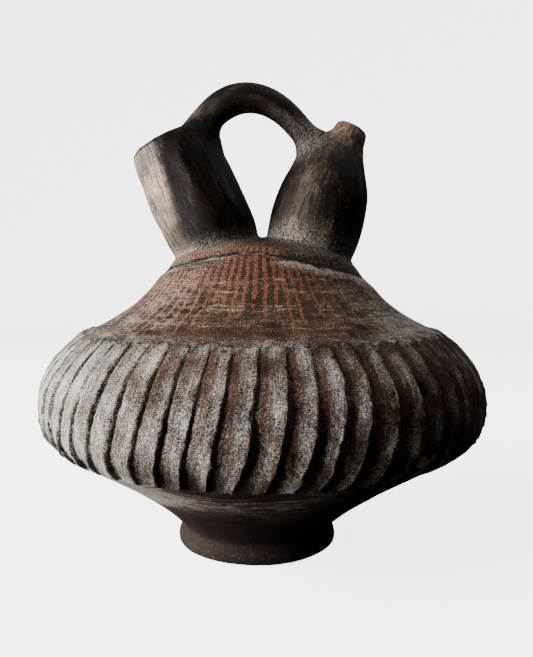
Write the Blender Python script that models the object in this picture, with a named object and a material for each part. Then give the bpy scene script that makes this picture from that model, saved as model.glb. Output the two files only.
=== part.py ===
# A kendi: one hollow vessel of fired clay with a filling spout, a pouring spout and a rod handle.
# Lengths are millimetres until a mesh is made. +Z is up, -Y is the front, +X is the pouring side.
# The origin is on the belt's own axis, at the height of the foot's underside.
# The clay is one piece. It is parted at the neck only so that its hollow stays open to whatever is
# poured in: the body below, the domed top with both spouts and the handle above.
import math

import bmesh
import bpy
import numpy as np

MM = 0.001

# Foot
FOOT_RADIUS = 43.2
FOOT_SHIFT = -2.7            # the foot was thrown a little off the belt's axis, along X
FOOT_HEIGHT = 10.5           # underside to the waist above the lip
FOOT_LIP = 5.3               # underside to the lip's upper edge
FOOT_WAIST_DEPTH = 2.4       # how far the waist lies inside the lip
FOOT_EDGE = 1.2              # rounding of the lip's lower edge
FOOT_RING_WIDTH = 9.0        # flat ring that the vessel stands on
FOOT_RECESS = 2.5            # hollow inside that ring
BASE_THICKNESS = 8.0

# Lower wall, a hollow curve from the foot's waist to the belt
CONE_RISE = 48.5
CONE_SLOPES = (50.0, 33.0)   # degrees from level, at the foot and at the belt
CONE_PULLS = (0.27, 0.34)    # share of its length that holds each of those slopes

# Belt of gouged ribs
BELT_RADIUS = 118.0          # widest, over the ribs' crests
BELT_LOWER_RISE = 19.8       # lower edge to the widest place
BELT_UPPER_RISE = 37.5       # widest place to the upper edge
BELT_LOWER_TURN = 10.0       # how much the lower edge lies inside the widest place
BELT_UPPER_TURN = 22.9
BELT_LOWER_POWER = 2.75      # how suddenly the belt turns in below, and above
BELT_UPPER_POWER = 2.4
BELT_LEDGE = 1.6             # overhang of the ribs' ends past the wall under them
RIB_COUNT = 60
RIB_DEPTH = 3.2              # crest to the groove's floor
RIB_SWEEP = -5.0             # degrees that a crest drifts, from its upper to its lower end
RIB_SWEEP_POWER = 2.2        # most of that drift is near the lower end
RIB_GROOVE = (0.13, 0.33)    # share of the pitch where a groove's floor starts and ends
RIB_RAMP = (0.62, 0.32)      # share of the pitch, and of the depth, in the middle of the ramp up
RIB_LOWER_END = (0.10, 0.5)  # share of the belt's height in which a groove runs out below, and its power
RIB_UPPER_END = (0.25, 0.8)
RIB_SPACING_WAVES = ((3, 0.57, -136.0), (11, 0.44, -27.0))   # turns, degrees, phase in degrees

# Shoulder and domed top
SHOULDER_RISE = 37.1         # belt to neck
SHOULDER_STEP = 1.4          # the shoulder starts this far inside the belt's upper edge
SHOULDER_SLOPE = 20.4        # degrees from level, at the belt
NECK_RADIUS = 47.0
NECK_SLOPE = 45.7
SHOULDER_PULLS = (0.47, 0.30)   # share of the shoulder's length that holds each of those slopes
DOME_RISE = 12.4             # neck to the top of the dome
DOME_PULLS = (0.55, 0.45)    # share of the rise that holds the neck's slope, of the radius that is level
PARTING_GAP = 0.3            # between the body's rim and the domed top
PARTING_REACH = 12.0         # how far past the neck the parting's cut reaches

# Walls
BODY_WALL = 6.0              # behind the grooves' floors
SPOUT_WALL = 5.0

# Filling spout, on the -X side
FILLING_FOOT_X = -22.8       # where its axis starts, above the neck's level
FILLING_FOOT_RISE = 6.3
FILLING_LEAN = -25.6         # degrees from upright, negative towards -X
FILLING_LENGTH = 64.0
FILLING_FOOT_RADIUS = 22.7
FILLING_BELLY_RADIUS = 25.3
FILLING_BELLY_AT = 21.8      # along the axis
FILLING_RIM_RADIUS = 21.2
FILLING_RIM_EDGE = 1.6       # rounding of the rim's outer edge
FILLING_POWERS = (2.0, 2.4)  # how suddenly it narrows below the belly, and above
MOUTH_RADIUS = 14.0
MOUTH_SHIFT = 2.7            # the mouth lies off centre, away from the handle

# Pouring spout, on the +X side: a closed bulb with a nozzle
POURING_FOOT_X = 24.2
POURING_FOOT_RISE = 4.4
POURING_FOOT_LEAN = 19.9
POURING_TOP_LEAN = 8.2
POURING_FOOT_RADIUS = 23.4
POURING_BELLY_RADIUS = 25.5
POURING_BELLY_AT = 17.8
POURING_LENGTH = 63.0
NOZZLE_AT = 47.0             # where its axis starts, along the bulb's axis
NOZZLE_SHIFT = 1.8           # and how far from that axis, away from the handle
NOZZLE_LEAN = 25.0
NOZZLE_LENGTH = 24.5
NOZZLE_FOOT_RADIUS = 13.2
NOZZLE_END_RADIUS = 8.5
NOZZLE_EDGE = 1.8            # rounding of its end
NOZZLE_HOLE_RADIUS = 4.0

# Spouts let into the body
LET_IN = 6.0                 # below the foot of each spout's axis
THROAT = 14.0                # each bore starts this far below it, in the body's hollow
THROAT_SHARE = 0.7           # of the bore's radius at the foot of the axis

# Handle, a rod pressed on the filling spout's rim and on the bulb's shoulder
HANDLE_RADII = (9.6, 8.8, 8.4, 8.6, 8.4, 8.0, 7.4, 6.9, 8.6)   # at even steps from rim to bulb
HANDLE_RIM_INSET = 2.0       # its axis leaves the rim this far inside the edge
HANDLE_RIM_ROOT = 7.8        # and starts this far under it
HANDLE_SPRING = 13.6         # how long it goes on straight up
HANDLE_RISE = 22.2           # its axis climbs this far over the rim's centre
HANDLE_REACH = 30.0          # how far before the bulb it starts to come down
HANDLE_BULB_AT = 55.0        # where it lands, along the bulb's axis
HANDLE_BULB_INSET = 8.8      # and how far from that axis
HANDLE_BULB_ROOT = 8.0       # length of rod let into the bulb
HANDLE_STEPS = 17

# Facets
FACETS = 32                  # round a spout
BORE_FACETS = 20
ROD_FACETS = 12
PLAIN_FACETS = 36            # round the dome and the body's hollow
LOWER_WALL_STEPS = 7
SHOULDER_STEPS = 6
DOME_STEPS = 5
BELT_ROWS = (0.03, 0.12, 0.28, 0.48, 0.66, 0.83, 0.95)   # shares of the belt's height
SPOUT_ROWS = (0.10, 0.28, 0.48, 0.67, 0.84)              # shares of a spout's length
BULB_ROWS = (0.10, 0.28, 0.49, 0.67, 0.81, 0.92, 0.985)
BORE_ROWS = (0.0, 0.33, 0.64, 0.88)

CLAY = (0.072, 0.058, 0.048)

# Heights that follow from the sizes
BELT_BOTTOM = FOOT_HEIGHT + CONE_RISE
BELT_WIDEST = BELT_BOTTOM + BELT_LOWER_RISE
BELT_TOP = BELT_WIDEST + BELT_UPPER_RISE
NECK_HEIGHT = BELT_TOP + SHOULDER_RISE
DOME_TOP = NECK_HEIGHT + DOME_RISE


def bezier(points, shares):
    # a Bezier curve through its end points, by de Casteljau's halving
    level = [np.outer(1.0 - shares, a) + np.outer(shares, b) for a, b in zip(points, points[1:])]
    while len(level) > 1:
        keep = 1.0 - shares[:, None]
        level = [keep * a + shares[:, None] * b for a, b in zip(level, level[1:])]
    return level[0]


def slope_vector(degrees, length):
    # outwards and upwards at an angle from level, in (radius, height)
    return np.array([math.cos(math.radians(degrees)), math.sin(math.radians(degrees))]) * length


def lean_vector(degrees, length):
    # from upright towards +X, in (x, z)
    return np.array([math.sin(math.radians(degrees)), math.cos(math.radians(degrees))]) * length


def belt_radius(height):
    # over the crests: flat at the widest place, turning in faster and faster towards both edges
    up = np.clip((height - BELT_WIDEST) / BELT_UPPER_RISE, 0.0, 1.0) ** BELT_UPPER_POWER
    down = np.clip((BELT_WIDEST - height) / BELT_LOWER_RISE, 0.0, 1.0) ** BELT_LOWER_POWER
    return BELT_RADIUS - BELT_UPPER_TURN * up - BELT_LOWER_TURN * down


def foot_shift(height):
    # the foot's offset dies out up to the belt
    return FOOT_SHIFT * np.clip((BELT_BOTTOM - height) / CONE_RISE, 0.0, 1.0) ** 2


def lower_wall(shares):
    start = np.array([FOOT_RADIUS - FOOT_WAIST_DEPTH, FOOT_HEIGHT])
    end = np.array([BELT_RADIUS - BELT_LOWER_TURN - BELT_LEDGE, BELT_BOTTOM])
    reach = np.linalg.norm(end - start)
    first = start + slope_vector(CONE_SLOPES[0], CONE_PULLS[0] * reach)
    second = end - slope_vector(CONE_SLOPES[1], CONE_PULLS[1] * reach)
    return bezier([start, first, second, end], shares)


def shoulder(shares):
    start = np.array([BELT_RADIUS - BELT_UPPER_TURN - SHOULDER_STEP, BELT_TOP])
    end = np.array([NECK_RADIUS, NECK_HEIGHT])
    reach = np.linalg.norm(end - start)
    first = start + slope_vector(180.0 - SHOULDER_SLOPE, SHOULDER_PULLS[0] * reach)
    second = end - slope_vector(180.0 - NECK_SLOPE, SHOULDER_PULLS[1] * reach)
    return bezier([start, first, second, end], shares)


def dome(shares):
    start = np.array([NECK_RADIUS, NECK_HEIGHT])
    top = np.array([0.0, DOME_TOP])
    first = start + slope_vector(180.0 - NECK_SLOPE, DOME_PULLS[0] * DOME_RISE)
    second = top + np.array([DOME_PULLS[1] * NECK_RADIUS, 0.0])
    return bezier([start, first, second, top], shares)


def crest_angles(share):
    # where each rib's crest is, in radians from the front towards +X, at a share of the belt's height
    turn = np.arange(RIB_COUNT) * 2.0 * math.pi / RIB_COUNT
    uneven = sum(size * np.sin(waves * turn + math.radians(phase))
                 for waves, size, phase in RIB_SPACING_WAVES)
    sweep = RIB_SWEEP * (1.0 - share) ** RIB_SWEEP_POWER
    return turn + np.radians(uneven + sweep)


def rib_cut(share):
    # how deep crest, groove floor and ramp lie under the belt's curve, at a share of the belt's height;
    # the grooves run out at both edges, sooner at the lower one
    lower_end = min(1.0, share / RIB_LOWER_END[0]) ** RIB_LOWER_END[1]
    upper_end = min(1.0, (1.0 - share) / RIB_UPPER_END[0]) ** RIB_UPPER_END[1]
    return RIB_DEPTH * lower_end * upper_end * np.array([0.0, 1.0, 1.0, RIB_RAMP[1]])


def ring(radius, height, angles, shift=0.0):
    # angle 0 is the front, and angles grow towards +X
    radius = np.broadcast_to(radius, angles.shape)
    return np.stack([shift + radius * np.sin(angles), -radius * np.cos(angles),
                     np.full(angles.shape, height)], axis=1)


def stack_faces(counts, starts):
    # triangles between neighbouring rings; a ring may be a point, or have a few times the other's corners
    faces = []
    for level in range(len(counts) - 1):
        low, high = counts[level], counts[level + 1]
        a, b = starts[level], starts[level + 1]
        whole = max(low, high)
        for i in range(whole):
            j = (i + 1) % whole
            low_i, low_j = i * low // whole, (j * low // whole) % low
            high_i, high_j = i * high // whole, (j * high // whole) % high
            if low == high:
                faces += [(a + i, a + j, b + j), (a + i, b + j, b + i)]
            elif low > high:
                faces.append((a + low_i, a + low_j, b + high_i))
                if high > 1 and high_i != high_j:
                    faces.append((a + low_j, b + high_j, b + high_i))
            else:
                faces.append((a + low_i, b + high_j, b + high_i))
                if low > 1 and low_i != low_j:
                    faces.append((a + low_i, a + low_j, b + high_j))
    return faces


def solid(name, rings):
    # a closed skin over rings of points from the bottom to the top, whose ends are single points
    counts = [len(points) for points in rings]
    starts = [sum(counts[:level]) for level in range(len(counts))]
    mesh = bpy.data.meshes.new(name)
    mesh.from_pydata((np.concatenate(rings) * MM).tolist(), [], stack_faces(counts, starts))
    skin = bmesh.new()
    skin.from_mesh(mesh)
    bmesh.ops.recalc_face_normals(skin, faces=skin.faces)
    skin.to_mesh(mesh)
    skin.free()
    made = bpy.data.objects.new(name, mesh)
    bpy.context.scene.collection.objects.link(made)
    return made


def foot_rings(angles):
    waist = FOOT_RADIUS - FOOT_WAIST_DEPTH
    recess = FOOT_RADIUS - FOOT_EDGE - FOOT_RING_WIDTH
    profile = [(recess - FOOT_RECESS, FOOT_RECESS), (recess, 0.0), (FOOT_RADIUS - FOOT_EDGE, 0.0),
               (FOOT_RADIUS, FOOT_EDGE), (FOOT_RADIUS, FOOT_LIP), (waist, (FOOT_LIP + FOOT_HEIGHT) / 2.0)]
    centre = np.array([[FOOT_SHIFT, 0.0, FOOT_RECESS]])
    return [centre] + [ring(radius, height, angles, FOOT_SHIFT) for radius, height in profile]


def belt_rings():
    # four corners for each rib: its crest, the two sides of the groove's floor, and the ramp
    places = np.array([0.0, *RIB_GROOVE, RIB_RAMP[0]])
    rings = []
    for share in BELT_ROWS:
        height = BELT_BOTTOM + share * (BELT_TOP - BELT_BOTTOM)
        crests = crest_angles(share)
        gaps = np.diff(crests, append=crests[0] + 2.0 * math.pi)
        angles = (crests[:, None] + gaps[:, None] * places).ravel()
        radii = np.tile(belt_radius(height) - rib_cut(share), RIB_COUNT)
        rings.append(ring(radii, height, angles))
    return rings


def body_outside():
    low_angles = crest_angles(0.0)
    high_angles = crest_angles(1.0)
    rings = foot_rings(low_angles)
    for radius, height in lower_wall(np.linspace(0, 1, LOWER_WALL_STEPS)):
        rings.append(ring(radius, height, low_angles, foot_shift(height)))
    rings += belt_rings()
    for radius, height in shoulder(np.linspace(0, 1, SHOULDER_STEPS)):
        rings.append(ring(radius, height, high_angles))
    rings.append(np.array([[0.0, 0.0, NECK_HEIGHT]]))
    return solid("body", rings)


def top_outside():
    # the dome, with a plug below it that is cut off at the parting
    angles = np.arange(PLAIN_FACETS) * 2.0 * math.pi / PLAIN_FACETS
    plug = NECK_HEIGHT - BODY_WALL
    rings = [np.array([[0.0, 0.0, plug]]), ring(NECK_RADIUS, plug, angles)]
    for radius, height in dome(np.linspace(0, 1, DOME_STEPS))[:-1]:
        rings.append(ring(radius, height, angles))
    rings.append(np.array([[0.0, 0.0, DOME_TOP]]))
    return solid("spouts_and_handle", rings)


def below_parting():
    # everything under the domed top's lower face
    angles = np.arange(PLAIN_FACETS) * 2.0 * math.pi / PLAIN_FACETS
    face = NECK_HEIGHT + PARTING_GAP
    return solid("below the parting", [
        np.array([[0.0, 0.0, 0.0]]), ring(NECK_RADIUS + PARTING_REACH, 0.0, angles),
        ring(NECK_RADIUS + PARTING_REACH, face, angles), np.array([[0.0, 0.0, face]])])


def inset(outline, distance):
    # the outline moved in square to itself; it runs upwards on the +X side
    along = np.gradient(outline, axis=0)
    along /= np.linalg.norm(along, axis=1)[:, None]
    return outline + distance * np.stack([-along[:, 1], along[:, 0]], axis=1)


def body_inside():
    angles = np.arange(PLAIN_FACETS) * 2.0 * math.pi / PLAIN_FACETS
    heights = np.linspace(BELT_BOTTOM, BELT_TOP, 6)[1:-1]
    belt = np.stack([belt_radius(heights) - RIB_DEPTH, heights], axis=1)
    walls = np.concatenate([lower_wall(np.linspace(0.1, 0.9, 3)), belt,
                            shoulder(np.linspace(0.2, 0.85, 3)), dome(np.linspace(0, 0.75, 3))])
    floor_height = FOOT_RECESS + BASE_THICKNESS
    floor_radius = FOOT_RADIUS - FOOT_WAIST_DEPTH - BODY_WALL
    rings = [np.array([[FOOT_SHIFT, 0.0, floor_height]]),
             ring(floor_radius, floor_height, angles, FOOT_SHIFT)]
    for radius, height in inset(walls, BODY_WALL):
        rings.append(ring(radius, height, angles, foot_shift(height)))
    rings.append(np.array([[0.0, 0.0, DOME_TOP - BODY_WALL]]))
    return solid("inside of the body", rings)


def tube(name, path, radii, facets, first_corner=0.0):
    # round rings square to a path in the XZ plane, closed by a point at either end
    along = np.gradient(path, axis=0)
    along /= np.linalg.norm(along, axis=1)[:, None]
    across = np.stack([along[:, 1], -along[:, 0]], axis=1)
    turn = (np.arange(facets) + first_corner) * 2.0 * math.pi / facets
    rings = [np.array([[path[0][0], 0.0, path[0][1]]])]
    for centre, side, radius in zip(path, across, radii):
        rings.append(np.stack([centre[0] + side[0] * radius * np.cos(turn), radius * np.sin(turn),
                               centre[1] + side[1] * radius * np.cos(turn)], axis=1))
    rings.append(np.array([[path[-1][0], 0.0, path[-1][1]]]))
    return solid(name, rings)


def filling_axis(lengths):
    start = np.array([FILLING_FOOT_X, NECK_HEIGHT + FILLING_FOOT_RISE])
    return start + np.outer(lengths, lean_vector(FILLING_LEAN, 1.0))


def filling_radius(lengths):
    # a barrel: swells from the foot to the belly, then narrows to the rim
    below = np.maximum(FILLING_BELLY_AT - lengths, 0.0) / FILLING_BELLY_AT
    above = np.clip((lengths - FILLING_BELLY_AT) / (FILLING_LENGTH - FILLING_BELLY_AT), 0.0, 1.0)
    return (FILLING_BELLY_RADIUS - (FILLING_BELLY_RADIUS - FILLING_FOOT_RADIUS) * below ** FILLING_POWERS[0]
            - (FILLING_BELLY_RADIUS - FILLING_RIM_RADIUS) * above ** FILLING_POWERS[1])


def pouring_axis(lengths):
    # bends from the lean of its foot to the lean of its top
    start = np.array([POURING_FOOT_X, NECK_HEIGHT + POURING_FOOT_RISE])
    middle = start + lean_vector(POURING_FOOT_LEAN, POURING_LENGTH / 2.0)
    top = middle + lean_vector(POURING_TOP_LEAN, POURING_LENGTH / 2.0)
    return bezier([start, middle, top], lengths / POURING_LENGTH)


def pouring_radius(lengths, wall=0.0):
    # swells from the foot to the belly, then closes as half an ellipse
    below = np.maximum(POURING_BELLY_AT - lengths, 0.0) / POURING_BELLY_AT
    above = np.clip((lengths - POURING_BELLY_AT) / (POURING_LENGTH - wall - POURING_BELLY_AT), 0.0, 1.0)
    return ((POURING_BELLY_RADIUS - wall) * np.sqrt(1.0 - above ** 2)
            - (POURING_BELLY_RADIUS - POURING_FOOT_RADIUS) * below ** 2)


def filling_spout():
    rows = np.array(SPOUT_ROWS) * FILLING_LENGTH
    lengths = np.concatenate([[-LET_IN], rows, [FILLING_LENGTH - FILLING_RIM_EDGE, FILLING_LENGTH]])
    radii = filling_radius(lengths)
    radii[-1] -= FILLING_RIM_EDGE
    return tube("filling spout", filling_axis(lengths), radii, FACETS)


def filling_bore():
    # the mouth is drawn away from the handle, whose foot thickens the wall on that side
    rows = np.array([*BORE_ROWS, 1.0]) * FILLING_LENGTH
    lengths = np.concatenate([[-THROAT], rows, [FILLING_LENGTH + FILLING_RIM_EDGE]])
    drawn = np.clip(lengths / FILLING_LENGTH, 0.0, 1.0) ** 3
    radii = (filling_radius(lengths) - SPOUT_WALL) * (1.0 - drawn) + MOUTH_RADIUS * drawn
    radii[0] = THROAT_SHARE * radii[1]
    path = filling_axis(lengths) - np.outer(drawn, lean_vector(FILLING_LEAN + 90.0, MOUTH_SHIFT))
    return tube("filling bore", path, radii, BORE_FACETS, 0.5)


def pouring_spout():
    lengths = np.concatenate([[-LET_IN], np.array(BULB_ROWS) * POURING_LENGTH])
    return tube("pouring spout", pouring_axis(lengths), pouring_radius(lengths), FACETS)


def pouring_bore():
    rows = np.array([*BORE_ROWS, 0.98]) * (POURING_LENGTH - SPOUT_WALL)
    lengths = np.concatenate([[-THROAT], rows])
    radii = pouring_radius(lengths, SPOUT_WALL)
    radii[0] = THROAT_SHARE * radii[1]
    return tube("pouring bore", pouring_axis(lengths), radii, BORE_FACETS, 0.5)


def nozzle_path(lengths):
    foot = pouring_axis(np.array([NOZZLE_AT]))[0] + np.array([NOZZLE_SHIFT, 0.0])
    return foot + np.outer(lengths, lean_vector(NOZZLE_LEAN, 1.0))


def nozzle():
    lengths = np.array([0.0, NOZZLE_LENGTH / 2.0, NOZZLE_LENGTH - NOZZLE_EDGE, NOZZLE_LENGTH])
    taper = NOZZLE_FOOT_RADIUS - NOZZLE_END_RADIUS
    radii = NOZZLE_FOOT_RADIUS - taper * lengths / NOZZLE_LENGTH
    radii[-1] -= NOZZLE_EDGE
    return tube("nozzle", nozzle_path(lengths), radii, BORE_FACETS)


def nozzle_bore():
    # from the bulb's hollow to past the nozzle's end
    lengths = np.array([-SPOUT_WALL, NOZZLE_LENGTH + SPOUT_WALL])
    return tube("nozzle bore", nozzle_path(lengths), [NOZZLE_HOLE_RADIUS] * 2, ROD_FACETS, 0.5)


def handle():
    # springs straight up from the filling spout's rim, arches over and comes down on the bulb's shoulder
    rim = filling_axis(np.array([FILLING_LENGTH]))[0]
    across = lean_vector(FILLING_LEAN + 90.0, FILLING_RIM_RADIUS)
    start = rim + across - np.array([HANDLE_RIM_INSET, HANDLE_RIM_ROOT])
    end = pouring_axis(np.array([HANDLE_BULB_AT]))[0] - np.array([HANDLE_BULB_INSET, 0.0])
    first = start + np.array([0.0, HANDLE_SPRING])
    # the middle of the curve is at an eighth of its ends and three eighths of its two inner points
    middle = rim[1] + HANDLE_RISE
    second = np.array([end[0] - HANDLE_REACH, (8.0 * middle - start[1] - end[1]) / 3.0 - first[1]])
    path = bezier([start, first, second, end], np.linspace(0.0, 1.0, HANDLE_STEPS))
    landing = (end - second) / np.linalg.norm(end - second)
    path = np.concatenate([path, [end + landing * HANDLE_BULB_ROOT]])
    radii = np.interp(np.linspace(0, 1, len(path)), np.linspace(0, 1, len(HANDLE_RADII)), HANDLE_RADII)
    return tube("handle rod", path, radii, ROD_FACETS)


def use(target, tool, operation):
    step = target.modifiers.new(tool.name, "BOOLEAN")
    step.object = tool
    step.operation = operation
    step.solver = "EXACT"
    tool.hide_render = True
    tool.display_type = "WIRE"


def clay(target):
    material = bpy.data.materials.new("smoke-fired earthenware")
    material.use_nodes = True
    shader = material.node_tree.nodes["Principled BSDF"]
    shader.inputs["Base Color"].default_value = (*CLAY, 1.0)
    shader.inputs["Roughness"].default_value = 0.6
    shader.inputs["Metallic"].default_value = 0.0
    target.data.materials.append(material)


for old in list(bpy.data.objects):
    bpy.data.objects.remove(old, do_unlink=True)

body = body_outside()
top = top_outside()
for joined in (filling_spout(), pouring_spout(), nozzle(), handle()):
    use(top, joined, "UNION")
use(top, below_parting(), "DIFFERENCE")
hollow = body_inside()
bores = (filling_bore(), pouring_bore())
for cut in (hollow, *bores):
    use(body, cut, "DIFFERENCE")
    use(top, cut, "DIFFERENCE")
use(top, nozzle_bore(), "DIFFERENCE")
for piece in (body, top):
    clay(piece)
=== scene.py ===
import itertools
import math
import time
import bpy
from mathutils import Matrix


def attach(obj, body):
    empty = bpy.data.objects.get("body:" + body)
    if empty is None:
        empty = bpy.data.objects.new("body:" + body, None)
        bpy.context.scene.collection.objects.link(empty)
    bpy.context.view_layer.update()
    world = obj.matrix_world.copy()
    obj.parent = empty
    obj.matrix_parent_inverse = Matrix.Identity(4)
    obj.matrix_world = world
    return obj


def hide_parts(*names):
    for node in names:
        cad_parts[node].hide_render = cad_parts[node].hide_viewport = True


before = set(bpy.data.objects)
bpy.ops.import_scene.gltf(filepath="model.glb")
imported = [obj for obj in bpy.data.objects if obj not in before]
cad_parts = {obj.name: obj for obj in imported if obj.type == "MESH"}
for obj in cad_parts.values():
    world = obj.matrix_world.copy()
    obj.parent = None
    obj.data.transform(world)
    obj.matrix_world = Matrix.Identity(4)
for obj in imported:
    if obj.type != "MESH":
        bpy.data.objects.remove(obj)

# The looks of a kendi: smoke-blackened earthenware with a belt of gouged ribs and faded red stripes.
# Lengths are millimetres until a mesh is made. Angles round the axis start at the front (-Y) and grow
# towards +X, the side of the pouring spout.
from types import SimpleNamespace

import bpy
import numpy as np
from mathutils import Vector

mm = 0.001
started = time.time()
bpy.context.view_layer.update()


def say(what):
    print(f"{what}: {time.time() - started:.1f} s")


foot = {"radius": 43.2, "shift": -2.7, "height": 10.5, "waistDepth": 2.4, "ringWidth": 9.0, "recess": 2.5,
        "base": 8.0}
cone = {"rise": 48.5, "slopes": (50.0, 33.0), "pulls": (0.27, 0.34)}
belt = {"radius": 118.0, "lowerRise": 19.8, "upperRise": 37.5, "lowerTurn": 10.0, "upperTurn": 22.9,
        "lowerPower": 2.75, "upperPower": 2.4, "ledge": 1.6}
ribs = {"count": 60, "depth": 2.9, "sweep": -5.0, "sweepPower": 2.2,
        "spacingWaves": ((3, 0.57, -136.0), (11, 0.44, -27.0)),
        "columns": (0.0, 0.022, 0.05, 0.09, 0.15, 0.22, 0.29, 0.36, 0.42, 0.49, 0.57, 0.66, 0.75, 0.84, 0.92,
                    0.972)}
shoulder = {"rise": 37.1, "step": 1.4, "slope": 20.4, "neckRadius": 47.0, "neckSlope": 45.7,
            "pulls": (0.47, 0.30)}
dome = {"rise": 12.4, "pulls": (0.55, 0.45)}
walls = {"body": 6.0, "spout": 5.0}
filling = {"x": -22.8, "rise": 6.3, "lean": -25.6, "length": 64.0, "footRadius": 22.7, "bellyRadius": 25.3,
           "bellyAt": 21.8, "rimRadius": 21.2, "powers": (2.0, 2.4), "mouth": 14.0, "mouthShift": 2.7,
           "facets": 10, "flatness": 0.65, "rubbedAndHighlitEdge": 7}
pouring = {"x": 24.2, "rise": 4.4, "footLean": 19.9, "topLean": 8.2, "footRadius": 23.4,
           "bellyRadius": 25.5, "bellyAt": 17.8, "length": 63.0, "facets": 11, "flatness": 0.45}
nozzle = {"at": 47.0, "shift": 1.8, "lean": 25.0, "length": 24.5, "footRadius": 13.2, "endRadius": 8.5,
          "hole": 4.0}
throat = {"letIn": 9.0, "start": 14.0, "share": 0.7}
handle = {"radii": (9.6, 8.8, 8.4, 8.6, 8.4, 8.0, 7.4, 6.9, 8.6), "rimInset": 2.0, "rimRoot": 7.8,
          "spring": 13.6, "rise": 22.2, "reach": 30.0, "bulbAt": 55.0, "bulbInset": 8.8, "bulbRoot": 8.0}

beltBottom = foot["height"] + cone["rise"]
beltWidest = beltBottom + belt["lowerRise"]
beltTop = beltWidest + belt["upperRise"]
neckHeight = beltTop + shoulder["rise"]
domeTop = neckHeight + dome["rise"]
limbsFrom = beltTop + 20.0    # the joints of the spouts all lie above this height


def ease(low, high, value):
    # 0 below low, 1 above high, smooth between
    share = np.clip((value - low) / (high - low), 0.0, 1.0)
    return share * share * (3.0 - 2.0 * share)


def bump(value, centre, width):
    # a bell curve: e to the minus square of the distance from the centre, counted in widths
    return np.exp(-((value - centre) / width) ** 2)


def bezier(points, shares):
    # a Bezier curve: neighbouring points are blended by the share, and again, until one is left
    level = [np.outer(1.0 - shares, a) + np.outer(shares, b) for a, b in zip(points, points[1:])]
    while len(level) > 1:
        keep = 1.0 - shares[:, None]
        level = [keep * a + shares[:, None] * b for a, b in zip(level, level[1:])]
    return level[0]


def slopeVector(degrees, length):
    # a vector of radius and height, turned up from level by an angle
    return np.array([math.cos(math.radians(degrees)), math.sin(math.radians(degrees))]) * length


def leanVector(degrees, length):
    # a vector in the XZ plane, which leans from upright towards +X by an angle
    return np.array([math.sin(math.radians(degrees)), math.cos(math.radians(degrees))]) * length


def smoothPath(points, count):
    # a Catmull-Rom curve through the points
    points = np.array(points, dtype=float)
    padded = np.concatenate([[2 * points[0] - points[1]], points, [2 * points[-1] - points[-2]]])
    place = np.linspace(0, len(points) - 1, count)
    start = np.minimum(place.astype(int), len(points) - 2)
    t = (place - start)[:, None]
    a, b, c, d = (padded[start + k] for k in range(4))
    return 0.5 * (2 * b + (c - a) * t + (2 * a - 5 * b + 4 * c - d) * t ** 2
                  + (3 * b - 3 * c + d - a) * t ** 3)


def hashed(cells, seed):
    # a repeatable number from 0 to 1 for each whole-numbered cell
    cells = cells.astype(np.int64)
    value = (cells[..., 0] * 73856093) ^ (cells[..., 1] * 19349663) ^ (cells[..., 2] * 83492791)
    value = (value + seed * 974711) & 0xFFFFFFFF
    value = ((value ^ (value >> 15)) * 0x2C1B3C6D) & 0xFFFFFFFF
    value = ((value ^ (value >> 12)) * 0x297A2D39) & 0xFFFFFFFF
    return ((value ^ (value >> 15)) & 0xFFFFFF) / 0xFFFFFF


def lumps(points, size, seed=0):
    # value noise from -1 to 1, with lumps about size across
    place = points / size
    cell = np.floor(place)
    part = place - cell
    part = part * part * (3.0 - 2.0 * part)
    total = 0.0
    for corner in itertools.product((0, 1), repeat=3):
        weight = np.prod(np.where(corner, part, 1.0 - part), axis=-1)
        total = total + weight * hashed(cell + np.array(corner), seed)
    return 2.0 * total - 1.0


def beltRadius(height):
    # the belt's greatest radius, less a power of the way up or down from its widest place
    up = np.clip((height - beltWidest) / belt["upperRise"], 0.0, 1.0) ** belt["upperPower"]
    down = np.clip((beltWidest - height) / belt["lowerRise"], 0.0, 1.0) ** belt["lowerPower"]
    return belt["radius"] - belt["upperTurn"] * up - belt["lowerTurn"] * down


def footShift(height):
    # how far off the axis the foot was turned: it grows by the square of the way down from the belt
    return foot["shift"] * np.clip((beltBottom - height) / cone["rise"], 0.0, 1.0) ** 2


def lowerWall(shares):
    # radius and height from the foot's waist to the belt: a cubic curve between two slopes
    start = np.array([foot["radius"] - foot["waistDepth"], foot["height"]])
    end = np.array([belt["radius"] - belt["lowerTurn"] - belt["ledge"], beltBottom])
    reach = np.linalg.norm(end - start)
    first = start + slopeVector(cone["slopes"][0], cone["pulls"][0] * reach)
    second = end - slopeVector(cone["slopes"][1], cone["pulls"][1] * reach)
    return bezier([start, first, second, end], shares)


def shoulderCurve(shares):
    # radius and height from the belt to the neck: a cubic curve between two slopes
    start = np.array([belt["radius"] - belt["upperTurn"] - shoulder["step"], beltTop])
    end = np.array([shoulder["neckRadius"], neckHeight])
    reach = np.linalg.norm(end - start)
    first = start + slopeVector(180.0 - shoulder["slope"], shoulder["pulls"][0] * reach)
    second = end - slopeVector(180.0 - shoulder["neckSlope"], shoulder["pulls"][1] * reach)
    return bezier([start, first, second, end], shares)


def domeCurve(shares):
    # radius and height from the neck to the top of the dome: a cubic curve that ends level
    start = np.array([shoulder["neckRadius"], neckHeight])
    top = np.array([0.0, domeTop])
    first = start + slopeVector(180.0 - shoulder["neckSlope"], dome["pulls"][0] * dome["rise"])
    second = top + np.array([dome["pulls"][1] * shoulder["neckRadius"], 0.0])
    return bezier([start, first, second, top], shares)


def crestAngles(share):
    # the angle of each rib's crest: even spacing, plus two sine waves for the potter's uneven hand, plus a
    # sweep to one side that grows by a power of the way down the belt
    turn = np.arange(ribs["count"]) * 2.0 * math.pi / ribs["count"]
    uneven = sum(size * np.sin(waves * turn + math.radians(phase))
                 for waves, size, phase in ribs["spacingWaves"])
    return turn + np.radians(uneven + ribs["sweep"] * (1.0 - share) ** ribs["sweepPower"])


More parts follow.
